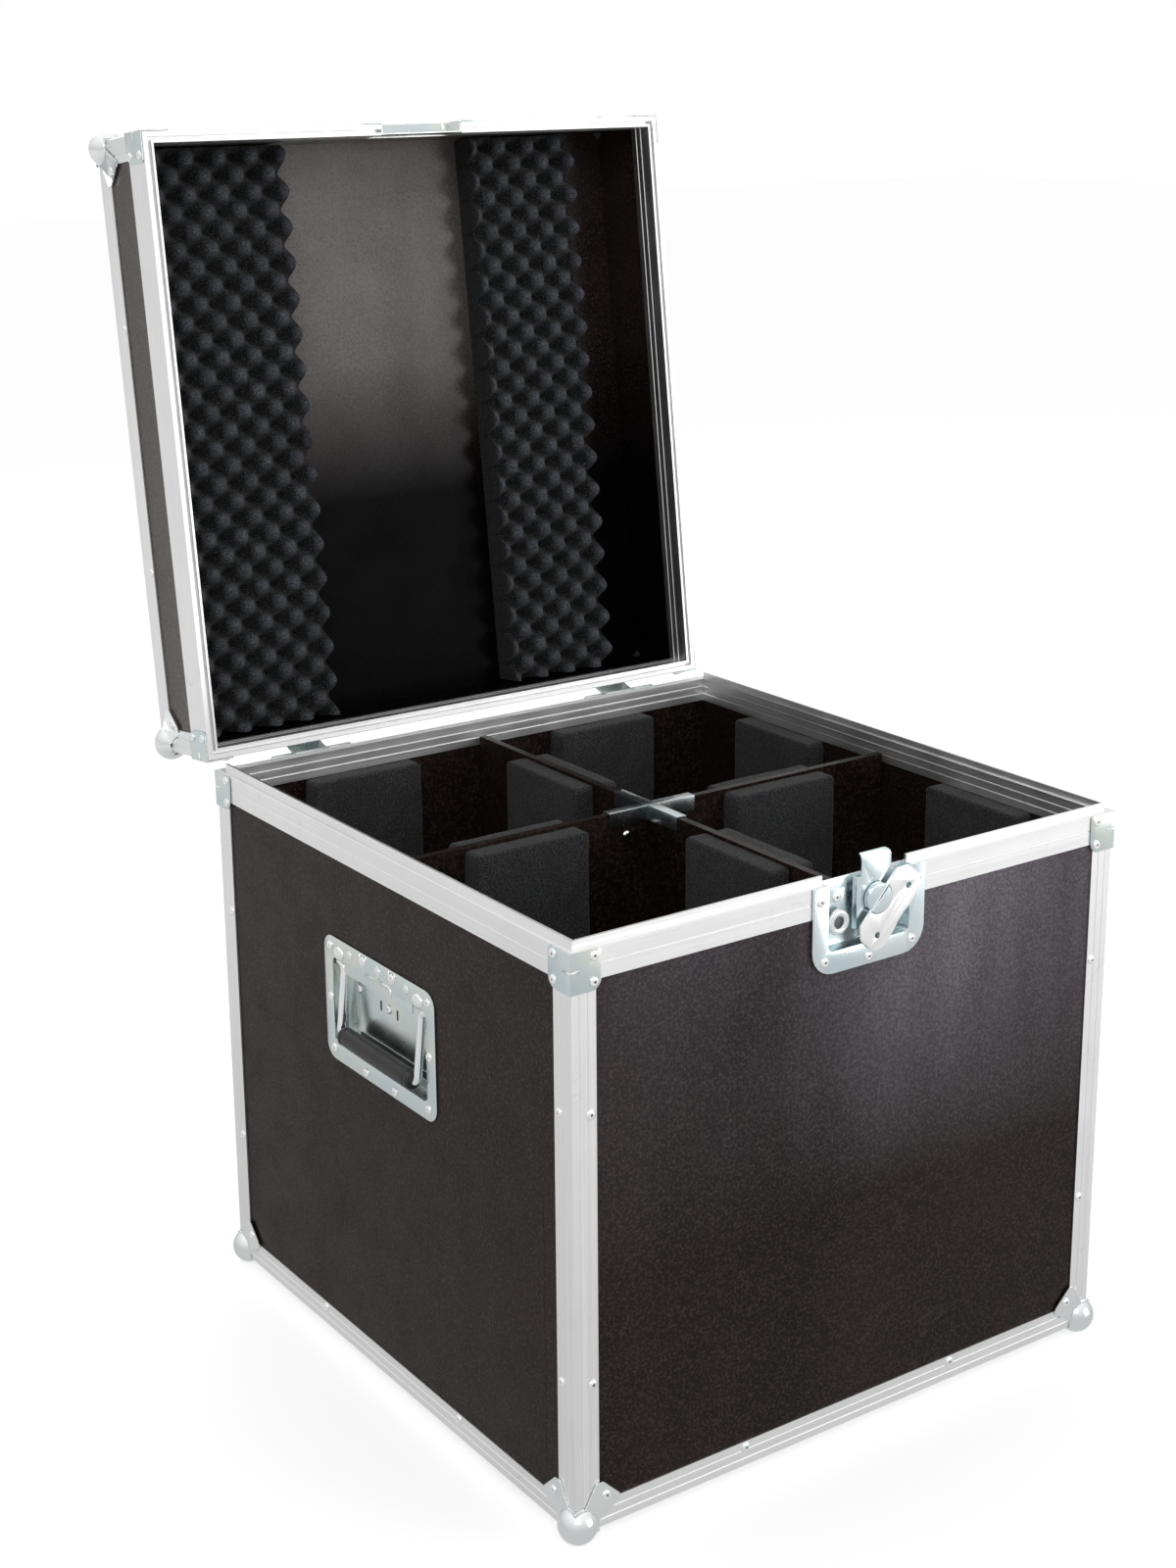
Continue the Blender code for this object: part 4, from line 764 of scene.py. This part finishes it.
def petal_places(corners):
    """Matrices on the three petals of each corner: Z points out of the face, and the place is on the diagonal."""
    axes = np.eye(3)
    petals = [matrix_of(axes[(k + 1) % 3], np.cross(-axes[k], axes[(k + 1) % 3]), -axes[k],
                        petal_in * (1 - axes[k]) - plate_front * axes[k]) for k in range(3)]
    return [corner @ petal for petal in petals for corner in corners]


for prefix, to_scene, skin, corners in (("base", case_to_scene, base_rivet, base_corners),
                                        ("lid", lid_to_scene, lid_rivet, lid_corners)):
    on_lid = prefix == "lid"
    edge_z = lid_top - edge_in if on_lid else edge_in
    mouth, up_sign = (lid_mouth, 1) if on_lid else (base_height, -1)
    places = []
    for side, (_, _, run) in faces.items():
        places += on_face(side, mirrored([(bottom_rows, edge_z)]), 0, to_scene=to_scene)
        places += on_face(side, mirrored([(run - brace_in, mouth + up_sign * row) for row in brace_rows]), plate_front,
                          to_scene=to_scene)
        if not on_lid:
            places += on_face(side, mirrored([(run - edge_in, z) for z in upright_rows]), 0)
    rivets(prefix + "_edge_rivets", places, skin, prefix)
    rivets(prefix + "_petal_rivets", petal_places(corners), skin, prefix)

# %% [markdown]
# Each brace is bent round the corner and has one short crease pressed across the bend. The crease
# is a thin bar carried along a bent path, half sunk in the plate.

# %% Creases on the braces
def bent(corners, radius, steps=8):
    """An open path through corners, each inner corner an arc: c + (a sin((1-t)w) + b sin(tw)) / sin w."""
    corners = np.array(corners, float)
    path = [corners[:1]]
    for before, here, after in zip(corners, corners[1:], corners[2:]):
        back = (before - here) / np.linalg.norm(before - here)
        forward = (after - here) / np.linalg.norm(after - here)
        half = math.acos(np.clip(back @ forward, -1, 1)) / 2
        centre = here + (back + forward) / np.linalg.norm(back + forward) * radius / math.sin(half)
        first = here + back * radius / math.tan(half) - centre
        last = here + forward * radius / math.tan(half) - centre
        sweep = math.pi - 2 * half
        t = np.linspace(0, 1, steps + 1)[:, None]
        path.append(centre + (first * np.sin((1 - t) * sweep) + last * np.sin(t * sweep)) / math.sin(sweep))
    return np.vstack(path + [corners[-1:]])


crease_drop = 0.0153
crease_leg = 0.007
crease = tube(bent([(crease_leg, -plate_front, 0), (-plate_front, -plate_front, 0), (-plate_front, crease_leg, 0)],
                   0.0016), 0.0007, 10)
for prefix, to_scene, skin, height, sign_z in (("base", case_to_scene, base_chrome, base_height - crease_drop, 1),
                                               ("lid", lid_to_scene, lid_chrome, lid_mouth + crease_drop, -1)):
    places = [to_scene @ corner_matrix(x, y, sign_z, height) for x, y in signs]
    piece(prefix + "_brace_creases", placed(crease, places), skin, prefix)

# %% [markdown]
# ## The recessed handles
# The dish is pressed from one sheet. Its flange shows small domes where it was spot-welded, two
# tabs that hold the springs, and wavy ribs. All of these are bars and domes half sunk in it.

# %% Rivets and pressings round each handle
handle_z = 0.3204
flange_face = -0.0001
tab_x, tab_y = 0.023, 0.0486


def on_handles(points, proud, change=Matrix()):
    """Scene matrices for fittings at (along, up) points about the middle of both handles."""
    return [m @ change for side in ("left", "right") for m in on_face(side, points, proud, handle_z)]


handle_spots = mirrored([(0.0775, 0.0456), (tab_x, tab_y), (0.078, 0.0), (0.075, -0.0454), (0.023, -0.0494)])
rivets("handle_rivets", on_handles(handle_spots, flange_face), base_rivet, "base")
tab_half = 0.0045
tab_turn = np.linspace(np.pi, 2 * np.pi, 15)
tab = np.vstack([[(-tab_half, 0.0052)], np.column_stack([np.cos(tab_turn), np.sin(tab_turn)]) * tab_half,
                 [(tab_half, 0.0052)]])
waves = np.array([[(-19.6, 38.2), (-10.5, 38.6), (-3.0, 39.5), (1.2, 41.0), (3.0, 43.6), (4.0, 49.8)],
                  [(4.0, 39.2), (10.5, 39.5), (16.0, 39.4), (19.6, 38.2), (21.2, 36.2), (22.1, 32.2)]]) / 1000
bars = together(*[tube(at_height(path, flange_face), 0.0008, 10)
                  for path in (tab + (-tab_x, tab_y), tab + (tab_x, tab_y), *waves)])
dome = spun(np.array([(1.0, -0.1), (0.93, 0.10), (0.72, 0.21), (0.38, 0.285), (0.12, 0.30)]) * 0.004, 24)
boss = spun(np.array([(1.0, -0.05), (0.97, 0.06), (0.88, 0.18), (0.72, 0.28), (0.5, 0.35), (0.25, 0.39)]) * 0.0078, 32)
handle_middles = on_handles([(0, 0)], 0)
domes = placed(dome, on_handles([(-0.045, 0.0463), (0.0, 0.0472), (0.045, 0.0463)], flange_face))
bosses = placed(boss, on_handles(mirrored([(0.0625, 0.0425)]), flange_face, Matrix.Diagonal((1.0, 0.8, 1.0, 1.0))))
piece("handle_pressings", together(placed(bars, handle_middles), domes, bosses), base_chrome, "base")

# %% [markdown]
# A second plate lies in the bottom of the tray. Its edge is rolled to a bright bead, and two
# rivets hold it. A third rivet between two slots shows where the springs are anchored. The slots,
# the gap below the plate and two thin slots in the flange are openings; thin dark plates in them
# are painted shade.

# %% The plate in the tray
tray_floor = -0.0135
plate_half, plate_low, plate_high, plate_sheet = 0.056, -0.025, 0.030, 0.0010
tray_top, bead_z = tray_floor + plate_sheet, tray_floor + 0.0004
tray_plate = pressed(rounded_box(-plate_half, plate_low, plate_half, plate_high, 0.003),
                     [(0, tray_floor - 0.0002), (0, tray_floor + plate_sheet - 0.0003), (0.0003, tray_top)])
bead = tube(bent([(-plate_half, plate_high, bead_z), (-plate_half, plate_low, bead_z),
                  (plate_half, plate_low, bead_z), (plate_half, plate_high, bead_z)], 0.003), 0.0009, 12)
piece("handle_tray_plates", placed(together(tray_plate, bead), handle_middles), base_zinc, "base", 40)
tray_spots = [*mirrored([(0.0517, 0.012)]), (-0.004, 0.010)]
rivets("handle_tray_rivets", on_handles(tray_spots, tray_top), base_rivet, "base")
# Painted shade: thin dark plates stand in the slots and in the gap below the tray plate, in the rubber's dark finish.
slot = pressed(rounded_box(-0.0014, -0.0045, 0.0014, 0.0045, 0.001, 3), [(0, -0.0003), (0, 0.00002), (0.0002, 0.00006)])
gap = pressed(rounded_box(-0.054, -0.0028, 0.054, 0.0028, 0.002, 3), [(0, -0.0002), (0, 0.0002), (0.0003, 0.0003)])
lying_and_thin = Matrix.Rotation(math.pi / 2, 4, "Z") @ Matrix.Diagonal((0.5, 0.9, 1, 1))
slots = (on_handles([(-0.0166, 0.009), (0.0093, 0.009)], tray_top)
         + on_handles(mirrored([(tab_x, 0.0518)]), flange_face, lying_and_thin))
opening_shadows = together(placed(slot, slots), placed(gap, on_handles([(0, -0.0292)], tray_floor)))
piece("handle_slot_shadows", opening_shadows, rubber, "base")

# %% [markdown]
# The bail is a bent bar with its ends in the dish's side walls, and the grip is a rubber sleeve
# with a groove near each end. Both hang from the pivot and lean outward a little at rest.

# %% Bails and grips
pivot_in, pivot_z = 0.2674, 0.3532
lean = math.radians(6.0)
bail_half, bail_drop, bail_end, bar_radius, bend_radius = 0.0612, 0.0607, 0.0772, 0.0035, 0.0062
bar = tube(bent([(-bail_end, 0, 0), (-bail_half, 0, 0), (-bail_half, -bail_drop, 0), (bail_half, -bail_drop, 0),
                 (bail_half, 0, 0), (bail_end, 0, 0)], bend_radius, 12), bar_radius, 32)
grip_half = 0.056
grip_rows = [(4.4, 0.0), (6.2, 0.15), (7.2, 0.8), (7.75, 2.0), (7.8, 4.8), (7.7, 5.3), (7.15, 5.7), (7.0, 6.1),
             (7.15, 6.5), (7.7, 6.9), (7.8, 7.4), (7.8, 14), (7.82, 24), (7.78, 34), (7.8, 45), (7.82, 56)]
half_grip = np.array(grip_rows) / 1000 - (0, grip_half)
grip_points, grip_quads, grip_triangles = spun(np.vstack([half_grip, (half_grip * (1, -1))[-2::-1]]), 48)
grip_shape = (grip_points[:, [2, 0, 1]] - (0, bail_drop, 0), grip_quads, grip_triangles)
for side, sign in (("left", -1), ("right", 1)):
    pivot = (case_to_scene @ Matrix.Translation((sign * pivot_in, 0, pivot_z))
             @ Matrix.Rotation(math.radians(sign * 90), 4, "Z") @ Matrix.Rotation(math.radians(90) - lean, 4, "X"))
    bar_piece = piece(side + "_bail_bar", placed(bar, [pivot]), base_chrome, side + "_handle")
    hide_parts(side + "_handle_bail")
    grip_piece = piece(side + "_rubber_grip", placed(grip_shape, [pivot]), rubber, side + "_handle", 50)
    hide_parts(side + "_handle_grip")

# %% [markdown]
# ## The latch, the keeper and the hinges
# The latch dish is held by five rivets, the keeper in the lid by five more, and each hinge leaf by
# four. Beside the hook an eye for a padlock stands on a riveted tab: a ring with a fat section.

# %% Rivets of the latch, keeper and hinges
latch_x = 0.0055
hinge_x, hinge_half, hinge_rows, hinge_front = 0.1725, 0.030, (0.022, 0.034), 0.0018
hinge_spots = [(hand * hinge_x + end * hinge_half, row) for hand in (-1, 1) for end in (-1, 1) for row in hinge_rows]
tab_face = -0.0082


def fitting_places(spots, mouth, up_sign, to_scene):
    """Matrices of the rivets (x, y) in the latch or keeper and of those in the hinge leaves, by way from the mouth."""
    return (on_face("front", [(latch_x + x, mouth + up_sign * y) for x, y in spots], plate_front, to_scene=to_scene),
            on_face("rear", [(x, mouth + up_sign * row) for x, row in hinge_spots], hinge_front, to_scene=to_scene))


latch_places, base_hinges = fitting_places([*mirrored([(0.049, 0.012), (0.0443, 0.0615)]), (0.0, 0.066)],
                                           base_height, -1, case_to_scene)
keeper_places, lid_hinges = fitting_places([*mirrored([(0.049, 0.012), (0.038, 0.0325)]), (0.0, 0.0325)],
                                           lid_mouth, 1, lid_to_scene)
tab_places = on_face("front", [(latch_x - 0.0255, base_height - 0.0154)], tab_face)
rivets("base_fitting_rivets", latch_places + tab_places + base_hinges, base_rivet, "base")
rivets("lid_fitting_rivets", keeper_places + lid_hinges, lid_rivet, "lid")

# %% The padlock eye
def ring(middle_radius, half_wide, half_thick, power, around=48, section=20):
    """A ring whose section is |x / a|^n + |y / b|^n = 1, carried round a circle; it closes on itself."""
    t, turn = full_turn(section), full_turn(around)
    wide, thick = (half * np.sign(wave) * np.abs(wave) ** (2 / power)
                   for half, wave in ((half_wide, np.cos(t)), (half_thick, np.sin(t))))
    radius = middle_radius + wide[None, :]
    points = np.stack([radius * np.cos(turn)[:, None], radius * np.sin(turn)[:, None],
                       np.broadcast_to(thick, (around, section))], -1).reshape(-1, 3)
    index = np.pad(np.arange(around * section).reshape(around, section), ((0, 1), (0, 1)), mode="wrap")
    return outward(points, quads_of(index)[:, [0, 3, 2, 1]])


eye = ring(0.0076, 0.0028, 0.0022, 2.5)
# Painted shadow: a dark disc inside the eye stands for the shade in its hole.
eye_shadow = spun(np.array([(1.0, -0.1), (1.0, 0.02), (0.9, 0.04)]) * 0.0046, 24)
eye_spot = [(latch_x - 0.0272, base_height - 0.0339)]
piece("padlock_eye_shadow", placed(eye_shadow, on_face("front", eye_spot, -0.0042)), pin_and_shade_steel, "base")
piece("padlock_eye", placed(eye, on_face("front", eye_spot, -0.0035)), base_chrome, "base")

# %% [markdown]
# Chromed bolt heads hold the bracket over the crossing to the dividers, on both sides of the board.

# %% Bolts on the divider
bolt = spun(np.array([(1.0, -0.05), (1.0, 0.12), (0.93, 0.27), (0.75, 0.43), (0.5, 0.54), (0.2, 0.59)]) * 0.0042, 32)
divider_face = 0.0034
bolt_spots = [(-0.0271, 0.435), (0.0220, 0.4225)]
bolt_places = [case_to_scene @ Matrix.Translation((x, end * divider_face, z)) @ Matrix.Rotation(
    math.radians(-end * 90), 4, "X") for x, z in bolt_spots for end in (-1, 1)]
piece("divider_bolts", placed(bolt, bolt_places), base_chrome, "base", 50)

# %% [markdown]
# ## Foam in the bays
# Each bay has a floor pad and one pad in the middle of each wall. A pad is cut foam: its outline
# has round corners, its front edge turns in over a quarter circle, and its front swells slightly
# and is never quite flat. The swell is c (1 - s^2), where s runs from 0 in the middle to 1.

# %% One foam pad
def filled_in(outline, step):
    """The outline with more points: those it has, and one at every step of the way round."""
    closed = np.vstack([outline, outline[:1]])
    way = np.concatenate([[0], np.cumsum(np.linalg.norm(np.diff(closed, axis=0), axis=1))])
    stops = np.union1d(way[:-1], np.arange(0, way[-1], step))
    stops = stops[np.concatenate([[True], np.diff(stops) > 1e-4])]
    return np.column_stack([np.interp(stops, way, closed[:, k]) for k in (0, 1)])


def foam_pad(across, high, thick, phase, edge=0.0028, crown=0.0010, wave=0.0004):
    """A pad in X and Y about its middle with its back at Z = 0: quarter-round edge, crowned front, slow waves."""
    x, y = across / 2 - wave, high / 2 - wave
    outline = filled_in(rounded_box(-x, -y, x, y, edge * 1.6, 5), 0.007)
    turn = np.linspace(0, np.pi / 2, 6)
    insets = np.concatenate([[0, 0], edge * (1 - np.cos(turn))])
    heights = np.concatenate([[0, (thick - crown - edge) / 2], thick - crown - edge + edge * np.sin(turn)])
    rings = [at_height(drawn_in(outline, inset), z) for inset, z in zip(insets, heights)]
    rim = rings[-1][:, :2]
    rings += [at_height(rim * share, thick - crown + crown * (1 - share ** 2))
              for share in (0.94, 0.84, 0.70, 0.54, 0.36, 0.18)]
    rings = np.array(rings)
    slow = np.sin(61 * rings[..., 0] + phase) * np.sin(43 * rings[..., 1] + 2 * phase)
    ripple = np.sin(170 * (rings[..., 0] + rings[..., 1]) + 3 * phase)
    front = np.clip(rings[..., 2] / thick, 0, 1)
    rings[..., 2] += front * wave * (0.6 * slow - 0.4 + 0.15 * ripple)
    rings[..., :2] += (wave * (0.5 * slow + 0.3 * ripple))[..., None]
    return skin_of(rings)


# %% Pads in every bay
def facing(out, place):
    """Matrix that stands a pad up at a place, its front toward a level direction."""
    up = (0, 0, 1)
    return matrix_of(np.cross(up, out), up, out, place)


bay_x, bay_y = (0.0037, 0.2638), (0.0037, 0.2648)
pad_floor, pad_top, pad_thick, pad_wide = 0.0087, 0.0287, 0.020, 0.112
inner_top, outer_top = 0.4536, 0.4477
middle_x, middle_y, side_middle_y = 0.13375, 0.13425, 0.1352
for sign_x, sign_y, corner in ((-1, -1, "front_left"), (1, -1, "front_right"),
                               (-1, 1, "rear_left"), (1, 1, "rear_right")):
    phase = 1.7 * sign_x + 0.9 * sign_y
    centre = (sum(bay_x) / 2 * sign_x, sum(bay_y) / 2 * sign_y, pad_floor)
    floor_pad = foam_pad(bay_x[1] - bay_x[0], bay_y[1] - bay_y[0], pad_top - pad_floor, phase)
    shapes = [placed(floor_pad, [case_to_scene @ Matrix.Translation(centre)])]
    for out, x, y, top in (((0, sign_y, 0), middle_x, bay_y[0], inner_top),
                           ((sign_x, 0, 0), bay_x[0], middle_y, inner_top),
                           ((0, -sign_y, 0), middle_x, bay_y[1], outer_top),
                           ((-sign_x, 0, 0), bay_x[1], side_middle_y, outer_top)):
        phase += 1.1
        place = (x * sign_x, y * sign_y, (pad_top + top) / 2)
        shapes.append(placed(foam_pad(pad_wide, top - pad_top, pad_thick, phase), [case_to_scene @ facing(out, place)]))
    made = piece(corner + "_bay_foam", together(*shapes), pad_foam, "base", 60)
    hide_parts(corner + "_foam_liner")

# %% [markdown]
# ## Foam in the lid
# The lid carries two strips of convoluted foam. It is cut by rollers, so peaks and hollows take
# turns like the fields of a chess board: with s = (1 + cos(2 pi x / p) cos(2 pi y / p)) / 2 the
# height is base + swing s^0.78, which makes the hollows round and the peaks a little blunt.

# %% Two strips of convoluted foam
crate_pitch, crate_base, crate_swing, crate_row = 0.0323, 0.016, 0.020, 0.004
lid_roof = 0.5573
steps_a_pitch = 16


def crate_strip(low_x, high_x, peak_x, half_y):
    """A strip between low_x and high_x, hanging from the roof by the height of the chess-board wave."""
    spacing = crate_pitch / steps_a_pitch
    x = np.linspace(low_x, high_x, round((high_x - low_x) / spacing) + 1)
    y = np.linspace(-half_y, half_y, round(2 * half_y / spacing) + 1)
    x, y = np.meshgrid(x, y, indexing="ij")
    wave = np.cos(2 * np.pi * (x - peak_x) / crate_pitch) * np.cos(2 * np.pi * (y - crate_row) / crate_pitch)
    share = ((1 + wave) / 2) ** 0.78
    uneven = 0.00035 * np.sin(95 * x + 60 * y) + 0.00025 * np.sin(231 * x - 170 * y + 1.0) - 0.0006
    height = crate_base + crate_swing * share + uneven
    front = np.stack([x, y, lid_roof - height], -1)
    back = np.stack([x, y, np.full(x.shape, lid_roof)], -1)
    return plate_of(front, back)


for side, low_x, high_x, peak_x in (("left", -0.2622, -0.109, -0.109), ("right", 0.0935, 0.2082, 0.0935)):
    shape = crate_strip(low_x, high_x, peak_x, 0.2632)
    made = piece(side + "_egg_crate_strip", placed(shape, [lid_to_scene]), crate_foam, "lid", 60)
    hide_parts(f"lid_{side}_crate_foam")

# %% [markdown]
# ## The floor, the backdrop and the light
# A pale floor runs far past the picture. The surroundings are white where the camera sees them
# and dimmer as a source of light. What the metal mirrors is greyer below than above, so that it
# stays pale and nothing on the case burns out. Three large soft lamps shade the forms.

# %% Floor
floor_reach, floor_glow = 14.0, 0.54
near_sheen, far_sheen, sheen_reach = 0.64, 0.82, (0.4, 1.8)
white = (1, 1, 1, 1)
mesh = bpy.data.meshes.new("floor")
mesh.from_pydata([(x * floor_reach, y * floor_reach, 0) for x, y in ((-1, -1), (1, -1), (1, 1), (-1, 1))], [],
                 [(0, 1, 2, 3)])
floor = in_scene("floor", mesh)
floor_skin = bpy.data.materials.new("pale_floor")
floor_skin.use_nodes = True
nodes = Nodes(floor_skin.node_tree)
nodes.tree.nodes.remove(nodes.tree.nodes["Principled BSDF"])
matt = nodes.add("BsdfDiffuse", {"Color": (0.80, 0.80, 0.80, 1)})[0]
both = nodes.add("AddShader", {0: matt, 1: nodes.add("Emission", {"Color": white, "Strength": floor_glow})[0]})[0]
ray = nodes.add("LightPath")
to_camera = nodes.add("MixShader", {0: ray["Is Camera Ray"], 1: matt, 2: both})[0]
from_box = nodes.add("VectorMath", {0: nodes.add("TexCoord")["Object"]}, operation="LENGTH")["Value"]
sheen = nodes.add("Emission", {"Color": white,
                               "Strength": nodes.ranged(from_box, near_sheen, far_sheen, *sheen_reach)})[0]
to_mirror = nodes.add("MixShader", {0: ray["Is Glossy Ray"], 1: to_camera, 2: sheen})[0]
nodes.fill(nodes.tree.nodes["Material Output"], {"Surface": to_mirror})
mesh.materials.append(floor_skin)

# %% World and lamps
sky_light, low_mirror, high_mirror, mirror_reach = 0.55, 0.68, 1.10, 0.85
world = bpy.data.worlds.new("studio")
bpy.context.scene.world = world
world.use_nodes = True
nodes = Nodes(world.node_tree)
ray = nodes.add("LightPath")
height = nodes.axes(nodes.add("TexCoord")["Generated"])[2]
mirrored_light = nodes.ranged(height, low_mirror, high_mirror, 0.0, mirror_reach)
for_mirrors = nodes.times(ray["Is Glossy Ray"], nodes.number("SUBTRACT", mirrored_light, sky_light))
for_camera = nodes.times(ray["Is Camera Ray"], 1.0 - sky_light)
strength = nodes.number("ADD", sky_light, nodes.number("ADD", for_mirrors, for_camera))
nodes.fill(nodes.tree.nodes["Background"], {"Color": white, "Strength": strength})


def soft_lamp(name, place, target, size, power):
    """A square area lamp at a place, facing a target."""
    data = bpy.data.lights.new(name, "AREA")
    data.size = size
    data.energy = power
    lamp = in_scene(name, data)
    lamp.location = place
    lamp.rotation_euler = (Vector(target) - Vector(place)).to_track_quat("-Z", "Y").to_euler()


soft_lamp("key", (-2.0, -2.8, 3.0), (0, 0, 0.4), 1.8, 26)
soft_lamp("low_front", (1.85, -2.6, 0.86), (0, -0.3, 0.4), 1.7, 21)
soft_lamp("back", (0.5, 2.6, 2.6), (0, 0, 0.5), 2.0, 20)
bpy.context.scene.view_settings.view_transform = "Standard"
print("floor, world and three lamps")

bpy.context.view_layer.update()
